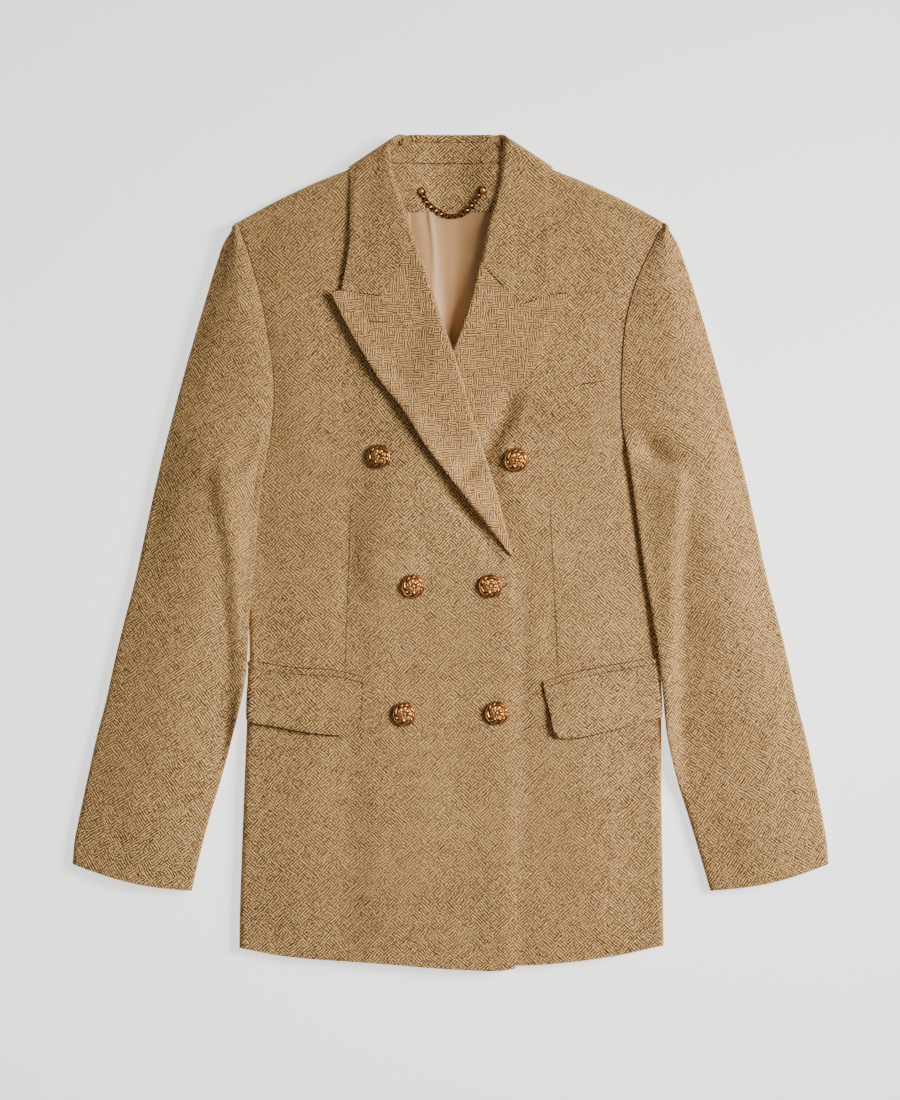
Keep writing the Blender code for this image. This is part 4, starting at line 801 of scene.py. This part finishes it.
def weaveMaterial(name, weave):
    # blocks of parallel yarns, each block turned one of two ways by the random value of its cell;
    # along its length every yarn is a row of dashes, started at a random place of its own
    material, tree, shader = newMaterial(name, {"Roughness": 0.88, "Specular IOR Level": 0.2, "Sheen Weight": 0.08,
                                                "Sheen Roughness": 0.5})
    calc = partial(mathNode, tree)
    place = grainPlace(tree)
    slow, quick = (noise(tree, place, scale, output="Color") for scale in (0.7, 3.2))

    def wandered(slowShare, quickShare):  # place + slow noise*share + quick noise*share
        at = place
        for moved, share in ((slow, slowShare), (quick, quickShare)):
            values = {0: moved, 1: (share, share, 0), 2: at}
            at = newNode(tree, "VectorMath", values, operation="MULTIPLY_ADD").outputs[0]
        return at

    blocks = {"Scale": 1/weave["block"], "Randomness": 0.9, "Vector": wandered(weave["wander"]*4, weave["wander"]*1.6)}
    cells = newNode(tree, "TexVoronoi", blocks, distance="CHEBYCHEV")
    turn, shift, seed = newNode(tree, "SeparateColor", {0: cells.outputs["Color"]}).outputs
    u, v = newNode(tree, "SeparateXYZ", {0: wandered(0.12, 0.04)}).outputs[:2]
    across = calc("MULTIPLY_ADD", calc("SUBTRACT", u, v), calc("GREATER_THAN", turn, 0.5), v)
    length = calc("SUBTRACT", calc("ADD", u, v), across)
    count = calc("MULTIPLY_ADD", across, 1/weave["pitch"], shift)
    seed = calc("ADD", calc("FLOOR", count), seed)
    own = newNode(tree, "TexWhiteNoise", {"W": seed}, noise_dimensions="1D").outputs[0]
    yarn = calc("MULTIPLY_ADD", calc("COSINE", calc("MULTIPLY", count, 2*math.pi)), -0.5, 0.5)
    dash = calc("SINE", calc("MULTIPLY_ADD", length, 2*math.pi/weave["dash"], calc("MULTIPLY", own, 6.28)))
    high = calc("MULTIPLY", calc("MULTIPLY_ADD", dash, weave["broken"], 1 - weave["broken"]), yarn)
    fuzz = noise(tree, place, 21.0, 3.0)
    tone = high
    for part, weight in ((fuzz, weave["fuzz"]), (own, weave["own"]), (noise(tree, place, 0.16), weave["cloud"])):
        tone = calc("MULTIPLY_ADD", calc("SUBTRACT", part, 0.5), weight, tone)
    tint = mixColour(tree, softStep(tree, tone, 0.12, 0.68), weave["dark"], weave["light"])
    tree.links.new(tint, shader.inputs["Base Color"])
    height = calc("MULTIPLY_ADD", fuzz, 0.4, high)
    bump = newNode(tree, "Bump", {"Strength": 0.6, "Distance": weave["relief"], "Height": height})
    tree.links.new(bump.outputs[0], shader.inputs["Normal"])
    return material


def satinMaterial(name, tint):
    material, tree, shader = newMaterial(name, {"Roughness": 0.48, "Specular IOR Level": 0.3, "Sheen Weight": 0.1})
    place = grainPlace(tree)
    threads = newNode(tree, "TexWave", {"Scale": 9.0, "Distortion": 1.5, "Vector": place}).outputs["Fac"]
    shade = mathNode(tree, "MULTIPLY_ADD", threads, 0.08, mathNode(tree, "MULTIPLY", noise(tree, place, 1.3), 0.25))
    tree.links.new(mixColour(tree, shade, tint, [v*0.8 for v in tint]), shader.inputs["Base Color"])
    return material


def metalMaterial(name, bright, dark):
    # worn metal: where the attribute read below is low, the metal is darker and rougher.
    # On the buttons that is patina in the hollows of the relief; on the studs and the chain it follows height,
    # which paints a highlight on their tops and shade on their lower sides.
    material, tree, shader = newMaterial(name, {"Metallic": 1.0})
    paintedLightAndWear = newNode(tree, "Attribute", attribute_name="wearAndPaintedLight").outputs["Fac"]
    spots = noise(tree, newNode(tree, "TexCoord").outputs["Object"], 900.0, 3.0)
    spots = mathNode(tree, "SUBTRACT", spots, 0.5)
    share = softStep(tree, mathNode(tree, "MULTIPLY_ADD", spots, 0.5, paintedLightAndWear), 0.0, 1.0)
    tree.links.new(mixColour(tree, share, dark, bright), shader.inputs["Base Color"])
    tree.links.new(mathNode(tree, "MULTIPLY_ADD", share, -0.34, 0.52), shader.inputs["Roughness"])
    return material


cloth, lapelCloth = weaveMaterial("tanWeave", bodyWeave), weaveMaterial("tanWeaveAcross", lapelWeave)
satin = satinMaterial("liningSatin", (205, 156, 105))
gold = metalMaterial("antiqueGold", (255, 196, 122), (110, 44, 15))
bronze = metalMaterial("antiqueGoldDark", (190, 132, 84), (50, 24, 13))
# two dark cloth colours for narrow strips of painted shade along seams, edges and hollows, and for the buttonhole
# marks
paintedDarkShadeAndThread, paintedFaintShadeAndThread = plainMaterial("paintedDarkShadeAndThread", colour(66, 34, 12)), plainMaterial("paintedFaintShadeAndThread", colour(104, 66, 32))
print("materials made")

# ---------- cloth pieces ----------

for side, half in halves.items():
    sign, onThis = half["sign"], ("front_" + side, )

    def lay(name, grid, wall, grain, degrees=45, material=cloth, **more):
        grain = turned(mirrored(grain, sign), degrees)
        addCloth(f"{name}_{side}", mirrored(grid, sign), wall, grain, material, **more)

    plan = backPlan(half)
    lay("back", flatFace(plan), body["wall"], plan, up=False)
    plan = sidePlan(half)
    lay("side_panel", flatFace(plan), body["wall"], plan, up=False)
    plan = frontPlan(half)
    lay("front", frontFace(plan[..., 0], plan[..., 1], half), body["wall"], plan, rests=("back_" + side, ))

    pairs = [sleeveSection(a, b, half) for a, b in zip(*sleeveEnds(half))]
    grid, grain = (np.stack(column) for column in zip(*pairs))
    degrees = 45 + sleeve["axis"]*sign
    lay("top_sleeve", grid, body["wall"], grain, degrees)
    grid = underSleeve(half)
    lay("under_sleeve", grid, body["wall"], grid[..., :2], degrees, up=False)

    grid, grain = lapelGrid(half)
    lay("lapel", grid, turnOut["wall"], grain, 0, lapelCloth, rests=onThis)

    plan = flapPlan(side)
    down = np.linspace(0, 1, len(plan))[:, None]
    clear = pocket["lift"]*ease(1.05 - down*1.2) + 0.2 + edgeRounding(plan, 1.3, 0.7)
    clear = clear + 0.8*(1 - pocketCuts)**6*ease(1.2 - down)  # the front end stands off a little more
    lay("flap", onFront(half, plan, body["wall"], clear), body["wall"], plan, rests=onThis)

    plan = plan[-1] + (0, 0.8) + np.linspace(0, pocket["jet"], 9)[:, None, None]*np.array([0.0, 1.0])
    swell = 0.5*np.sin(math.pi*np.linspace(0, 1, 9))[:, None] + 0*plan[..., 0]
    grid = onFront(half, plan, pocket["jetWall"], swell)
    lay("jet", grid, pocket["jetWall"], plan, flat=(None, 0.011), rests=onThis)
    print(side, "half cut and laid")

(left, leftGrain), (right, rightGrain) = collarHalf(halves["left"]), collarHalf(halves["right"])
rightGrain = rightGrain + (leftGrain[-1] - rightGrain[-1]).mean(axis=0)  # so that the weave meets at the middle
grid = np.concatenate([left, (right*(-1, 1, 1))[-2::-1]])
grain = turned(np.concatenate([leftGrain, rightGrain[-2::-1]]), 45)
addCloth("collar", grid, turnOut["wall"], grain, cloth, up=False, flat=(0.53, 0.075),
         rests=("lapel_left", "lapel_right"))

grid = standGrid()
addCloth("collar_stand", grid, body["wall"], turned(grid[..., :2], 45), cloth, rests=("collar", ))
grid, backs = facingGrid(), ("back_left", "back_right")
addCloth("back_neck_facing", grid, facing["wall"], turned(grid[..., :2], 45), cloth, rests=backs)
grid = liningGrid()
addCloth("lining", grid, lining["wall"], grid[..., :2], satin, slotName="lining_satin", rests=backs)

corners = welt["corners"]
plan = patch(spaced(corners[:2], 61), spaced(corners[:1:-1], 61), spaced(corners[::3], 25), spaced(corners[1:3], 25))
rim = edgeRounding(plan, 1.2, 0.6) + edgeRounding(plan[::-1], 1.2, 0.6)[::-1]
# its front end and its lower edge sink into the front
rim -= 2.1*ease(1 - np.linspace(0, 1, 61)/0.42) + 0.5*ease(1 - np.linspace(0, 1, 25)/0.3)[:, None]
addCloth("breast_welt", onFront(halves["left"], plan, body["wall"], 0.1 + rim), body["wall"], turned(plan, 45), cloth,
         rests=("front_left", ))
print("collar, neck and welt laid")


# ---------- seam shadows: narrow dark lines along which two layers meet, painted as the shade there, and buttonhole marks ---

def ringFaces(index):  # quads over a grid of point numbers whose columns close on themselves
    after = np.roll(index, -1, axis=1)
    return np.stack([index[:-1], index[1:], after[1:], after[:-1]], axis=-1).reshape(-1, 4).tolist()


def addSeamShadow(name, points, width, material=paintedDarkShadeAndThread):
    # a flat six-sided lens of painted shade run along the line, half of it sunk in, thinning out at both ends
    way = unit(np.gradient(points, axis=0))
    side = unit(np.cross(way, (0.0, 0.0, 1.0)))
    up = np.cross(side, way)
    share = np.linspace(0, 1, len(points))
    thin = np.minimum(1, np.minimum(share, 1 - share)*12 + 0.25)[:, None]
    grid = np.stack([points + thin*(width/2*math.cos(a)*side + 0.16*math.sin(a)*up)
                     for a in np.linspace(0, 2*math.pi, 7)[:-1]], axis=1)
    index = np.arange(grid.size//3).reshape(grid.shape[:2])
    faces = ringFaces(index) + [index[0].tolist(), index[-1][::-1].tolist()]
    return addMesh(name, grid.reshape(-1, 3), faces, None, material, None)


def seamShadowOn(name, side, line, width=0.7, up=0.1, material=paintedDarkShadeAndThread, steps=90):
    line, half = spaced(smoothLine(line), steps), halves[side]
    z = frontFace(half["sign"]*line[:, 0], line[:, 1], half)[:, 2] + up
    return addSeamShadow(name, np.concatenate([line, z[:, None]], axis=1), width, material)


def heightOn(grid, line, near=2.2):  # the highest of a grid's points near each place of a line
    x, y, z = grid.reshape(-1, 3).T
    return np.array([z[np.hypot(x - px, y - py) < near].max() for px, py in line])


# painted shade along the darts and the breast welt's edges, and a dark mark at a buttonhole's eye
frontSeamShadows = (  # name, half, points, width, height over the cloth, material, steps
    ("dart_seam_shadow_right", "right", ((-92.6, 46), (-93.8, 10), (-96.0, -50), (-98.2, -113)), 0.6, 0.2, paintedDarkShadeAndThread, 90),
    ("dart_seam_shadow_left", "left", ((92.4, 48), (94.6, 0), (97.2, -50), (100.2, -113)), 0.6, 0.2, paintedDarkShadeAndThread, 90),
    ("welt_seam_shadow_low", "left", ((80, 116.6), (110, 123.8), (139, 130.6)), 0.5, 0.1, paintedFaintShadeAndThread, 90),
    ("welt_seam_shadow_end", "left", ((139.5, 131), (141.6, 144), (143.5, 157.6)), 0.5, 0.1, paintedFaintShadeAndThread, 40),
    ("welt_seam_shadow_top", "left", ((88, 149.6), (112, 153.5), (143, 158.5)), 0.5, 0.1, paintedFaintShadeAndThread, 90),
    ("welt_seam_shadow_corner", "left", ((120, 155.0), (132, 156.9), (142.6, 158.4)), 0.9, 0.15, paintedDarkShadeAndThread, 40),
    ("buttonhole_eye", "right", ((47.8, -32.3), (49.6, -32.2), (51.4, -32.0)), 1.7, 0.15, paintedDarkShadeAndThread, 12),
)
for seam in frontSeamShadows[:2]:
    seamShadowOn(*seam)

for side, half in halves.items():
    sign, flap = half["sign"], flaps[side]
    shade = paintedDarkShadeAndThread if sign > 0 else paintedFaintShadeAndThread  # darker on the half that turns away from the lamp

    def moved(line, dOut, dY):
        return [(sign*(out + dOut), y + dY) for out, y in line]

    # painted shade along the jet, the flap's seam, lower and front edges, the jet's end, the notch, the gorge and the
    # armhole
    seamShadowOn("jet_seam_" + side, side, moved(flap["top"], 0, 6.35), 0.9, 0.15)
    seamShadowOn("flap_seam_" + side, side, moved(flap["top"], 0, 0.45), 0.9, 1.1)
    seamShadowOn("flap_edge_low_" + side, side, moved(flap["bottom"][1:-1], 0, -0.9), 1.2, 0.2, shade)
    seamShadowOn("flap_edge_front_" + side, side, moved(flap["front"], -0.45, 0), 0.7, 0.2, paintedFaintShadeAndThread, 50)
    seamShadowOn("jet_end_" + side, side, moved(((-0.4, 6.4), (-0.5, 0), (-0.5, -5)), *flap["top"][0]), 0.9, 0.3, steps=30)
    gorge = lapelGrid(half)[0][-1]*(sign, 1, 1)  # the lapel's top row, from the roll to the notch
    addSeamShadow("notch_seam_shadow_" + side, gorge[-17:] + (0, 0.25, 0.1), 0.8)
    addSeamShadow("gorge_seam_shadow_" + side, gorge[20:-16] + (0, 0.2, 0.25), 0.45, paintedFaintShadeAndThread)
    hole = [(sign*out, y) for out, y in armhole(half, 60) if y > 93]
    seamShadowOn("armhole_seam_shadow_" + side, side, hole, 1.35 if sign > 0 else 0.7, 0.45, shade, 160)
    print(side, "seams pressed")

stand = standGrid()
# painted shade along the stand's lower seam and along the neck fold
addSeamShadow("stand_seam_shadow", stand[0][1:-1] + (0, -0.3, 0.4), 0.8)
addSeamShadow("neck_fold_seam_shadow", stand[-1][6:-6] + (0, 0.1, 0.3), 0.6, paintedFaintShadeAndThread)
for seam in frontSeamShadows[2:]:
    seamShadowOn(*seam)
line = spaced(((-76, 213.4), (-57, 212.4)), 40)
z = heightOn(mirrored(lapelGrid(halves["right"])[0], -1), line)
addSeamShadow("lapel_buttonhole", np.concatenate([line, z[:, None] + 0.1], axis=1), 1.3, paintedFaintShadeAndThread)

# ---------- metal: buttons, studs, chain ----------

button = dict(radius=11.2, tall=6.6, shank=2.8, rings=46, sides=160, petals=8, sunk=0.9, slopeOver=6)
buttonPlaces = (("button_top_right", -66, 88, "right", 12), ("button_top_left", 61, 85, "left", -20),
                ("button_middle_right", -35, -32, "right", 4), ("button_middle_left", 37, -32, "right", 33),
                ("button_low_right", -43, -151, "right", -9), ("button_low_left", 43, -150, "right", 21))


def surfaceAt(x, y, half):
    return float(topHeight(half["sign"]*x, y, half))


def bell(x, middle, width):
    return np.exp(-((x - middle)/width)**2)


def buttonForm(q, a):  # height of the face at a share of its radius and an angle, and how worn it is
    n = button["petals"]
    dome = 2.9 + (button["tall"] - 3.7)*np.sqrt(np.clip(1 - (q*0.98)**2.2, 0, 1))
    rope = 0.7*bell(q, 0.945, 0.035)*(0.8 + 0.2*np.sin(40*a))
    wreath = bell(q, 0.76, 0.09)*(0.5 + 0.5*np.sin(9*a + 17*q + 1.4*np.sin(3*a + 1)))
    leaf = np.abs(np.sin(n*a/2 + 1.6*q))**0.8
    petals = ease((0.66 - q)/0.1)*ease((q - 0.14)/0.1)*(0.7*leaf + 0.25*np.cos(24*q + 3*np.cos(n*a + 2*q)))
    small = 0.5*bell(q, 0.52, 0.06)*np.abs(np.cos(n*a/2 + 0.5))**5
    small += 0.45*bell(q, 0.33, 0.06)*np.abs(np.sin(n*a + 0.8))**3
    boss = 0.75*bell(q, 0, 0.13)*(1 + 0.18*np.cos(5*a))
    relief = rope + wreath + petals + small + boss
    return dome + relief*0.95, np.clip(relief*0.9 + 0.02, 0, 1)


def addMetal(name, points, faces, wearAndPaintedLight, material, node):
    piece = addMesh(name, points, faces, None, material, node)
    layer = piece.data.attributes.new("wearAndPaintedLight", "FLOAT", "POINT")
    layer.data.foreach_set("value", np.asarray(wearAndPaintedLight, np.float32))


def turnedRings(profile, sides):  # radius, height and wear of each ring, the same all round
    return np.repeat(np.array(profile, float)[:, None], sides, axis=1)


def addTurned(name, rings, spot, normal, turn, node):
    # rings: radius, height over the spot and wear with painted light by ring and angle; the first and the last ring
    # lie on the axis
    normal = unit(np.array(normal, float))
    side = unit(np.cross((0.0, 1.0, 0.0), normal))
    other = np.cross(normal, side)
    sides = rings.shape[1]
    a = np.arange(sides)*2*math.pi/sides + math.radians(turn)
    around = np.cos(a)[:, None]*side + np.sin(a)[:, None]*other
    shell = rings[1:-1, :, :1]*around + rings[1:-1, :, 1:2]*normal + spot
    points = np.concatenate([[spot + rings[0, 0, 1]*normal], shell.reshape(-1, 3), [spot + rings[-1, 0, 1]*normal]])
    k = np.arange(shell.size//3).reshape(-1, sides) + 1
    after = np.roll(k, -1, axis=1)
    caps = [[0, int(x), int(y)] for x, y in zip(k[0], after[0])]
    caps += [[len(points) - 1, int(y), int(x)] for x, y in zip(k[-1], after[-1])]
    wearAndPaintedLight = np.concatenate([rings[0, :1, 2], rings[1:-1, :, 2].ravel(), rings[-1, :1, 2]])
    addMetal(name, points, ringFaces(k) + caps, wearAndPaintedLight, gold, node)


r, s = button["radius"], button["shank"]
under = ((r, 2.9), (r*0.985, 2.45), (r*0.92, 2.1), (r*0.6, 1.95), (s, 1.9), (s*0.85, 1.5), (s*0.85, 0.7), (s, 0.1),
         (0, 0.1))
a = np.arange(button["sides"])*2*math.pi/button["sides"]
q, a = np.meshgrid(np.linspace(0, 1, button["rings"]), a, indexing="ij")
high, paintedLightAndWear = buttonForm(q, a)
paintedLightAndWear[0] = paintedLightAndWear[0].mean()
face = np.stack([q*r*np.where(q < 1, 0.985, 1.0), high - 0.9*ease((q - 0.955)/0.045), paintedLightAndWear], axis=-1)
rings = np.concatenate([face, turnedRings([row + (0.25, ) for row in under], button["sides"])])
for name, x, y, side, turn in buttonPlaces:
    half, step = halves[side], button["slopeOver"]
    spot = np.array([x, y, surfaceAt(x, y, half) - button["sunk"]])  # drawn down into the cloth by its thread
    dx = (surfaceAt(x + step, y, half) - surfaceAt(x - step, y, half))/(2*step)
    dy = (surfaceAt(x, y + step, half) - surfaceAt(x, y - step, half))/(2*step)
    addTurned(name + "_relief", rings, spot, (-dx, -dy, 1.0), turn, name)

stud = dict(ball=2.6, centre=2.0, sides=40, sunk=0.5,
            flange=((2.5, 0.95), (3.9, 0.9), (4.1, 0.6), (3.7, 0.25), (0, 0.2)))
profile = [(0, stud["centre"] + stud["ball"])]
for t in np.radians(np.linspace(84, -20, 20)):
    profile.append((stud["ball"]*math.cos(t), stud["centre"] + stud["ball"]*math.sin(t)))
profile += stud["flange"]  # painted dark as shade at the foot, as the painted light starts above it
# painted light on the studs: the value rises with height, a painted highlight on the ball's top and painted shade
# below
rings = turnedRings([(r, high, min(max(1.5*(high - 1.5)/1.6, 0.0), 1.3)) for r, high in profile], stud["sides"])
for name, x, y in (("stud_right", -27.3, 334.3), ("stud_left", 30.0, 335.3)):
    spot = np.array([x, y, heightOn(facingGrid(), [(x, y)])[0] - stud["sunk"]])
    addTurned(name + "_ball", rings, spot, (0, 0, 1), 0, name)

chain = dict(pitch=2.9, link=5.4, breadth=5.2, wire=0.95, tilt=32.0, lift=1.3, round=28, wireSides=8,
             route=((-25.5, 331.5), (-22, 325), (-13, 317.5), (-5, 313), (3, 312), (12, 314), (20, 321), (27.5, 332)))
route = curve(chain["route"], 400)
total = lineLength(route)
resting = heightOn(facingGrid(), np.stack([route[::20, 0], np.maximum(route[::20, 1], facing["low"] + 2)], axis=1))
resting = tableAt(list(zip(np.linspace(0, total, len(resting)), resting)), np.linspace(0, total, 400))
links = int(round(total/chain["pitch"]))
long, wide = chain["link"]/2 - chain["wire"], chain["breadth"]/2 - chain["wire"]
# a stretched ring of round wire: u goes round the link, v round the wire
u, v = (np.arange(n)*2*math.pi/n for n in (chain["round"], chain["wireSides"]))
u, v = (angle[..., None] for angle in np.meshgrid(u, v, indexing="ij"))
index = np.arange(u.size).reshape(u.shape[:2])
points, faces, wearAndPaintedLight = [], [], []
for k in range(links + 1):
    along = total*k/links
    at = lineAt(route, [along - 0.5, along, along + 0.5])
    way = np.append(unit(at[2] - at[0]), 0.0)
    tilt = math.radians(chain["tilt"])*(1 if k % 2 else -1)
    across = math.cos(tilt)*np.array([-way[1], way[0], 0.0]) + math.sin(tilt)*np.array([0, 0, 1.0])
    away = np.cos(u)*way + np.sin(u)*across
    high = float(np.interp(along, np.linspace(0, total, 400), resting)) + chain["lift"]
    wire = chain["wire"]*(np.cos(v)*away + np.sin(v)*np.cross(way, across))
    ring = long*np.cos(u)*way + wide*np.sin(u)*across + wire + np.append(at[1], high)
    faces += ringFaces(np.concatenate([index, index[:1]]) + k*u.size)
    points.append(ring.reshape(-1, 3))
    # painted light on the links: bright on their upper crests as a highlight, dark below as the shade where they lie
    wearAndPaintedLight.append(np.clip(0.55*(ring[..., 2].ravel() - high), 0.0, 1))
addMetal("hanger_chain_links", np.concatenate(points), faces, np.concatenate(wearAndPaintedLight), bronze, "hanger_chain")
print("metal made:", links + 1, "links over", round(total, 1), "mm")

# ---------- floor, light, camera ----------

reach, z = 6, -0.0006  # metres
floorMesh = bpy.data.meshes.new("floor")
floorMesh.from_pydata([(-reach, -reach, z), (reach, -reach, z), (reach, reach, z), (-reach, reach, z)], [],
                      [(0, 1, 2, 3)])
glow = {"Emission Color": (1, 1, 1, 1), "Emission Strength": 1.25}
floorMesh.materials.append(plainMaterial("floorPaint", (0.95, 0.95, 0.95, 1), 0.9, glow))
floor = bpy.data.objects.new("floor", floorMesh)
bpy.context.scene.collection.objects.link(floor)

# x, y, z, width, power, how wide it fans out in degrees, x and y it points at
lamps = dict(key=(1.95, 0.4, 1.35, 1.05, 11.3, 46, 0.13, -0.08), fill=(-1.3, 0.9, 2.0, 2.0, 1.5, 180, 0, 0))
for name, (x, y, z, width, power, fan, aimX, aimY) in lamps.items():
    light = bpy.data.lights.new(name, "AREA")
    light.size, light.energy, light.spread = width, power, math.radians(fan)
    lamp = bpy.data.objects.new(name, light)
    lamp.location = (x, y, z)
    lamp.rotation_euler = Vector((aimX - x, aimY - y, -z)).to_track_quat("-Z", "Y").to_euler()
    bpy.context.scene.collection.objects.link(lamp)

world = bpy.data.worlds.new("studio")
world.use_nodes = True
background = world.node_tree.nodes["Background"]
background.inputs["Color"].default_value = (1.0, 0.96, 0.9, 1)
background.inputs["Strength"].default_value = 0.2
bpy.context.scene.world = world

# lens and film in mm; metres seen from top to bottom at the point the camera looks at
camera = dict(lens=85.0, film=24.0, seen=1.023, aim=(-0.0005, 0.0023, 0.012))
view = bpy.data.cameras.new("above")
view.lens, view.sensor_fit, view.sensor_width, view.sensor_height = camera["lens"], "VERTICAL", 36.0, camera["film"]
eye = bpy.data.objects.new("above", view)
x, y, z = camera["aim"]
eye.location = (x, y, camera["seen"]*camera["lens"]/camera["film"] + z)
bpy.context.scene.collection.objects.link(eye)
bpy.context.scene.camera = eye
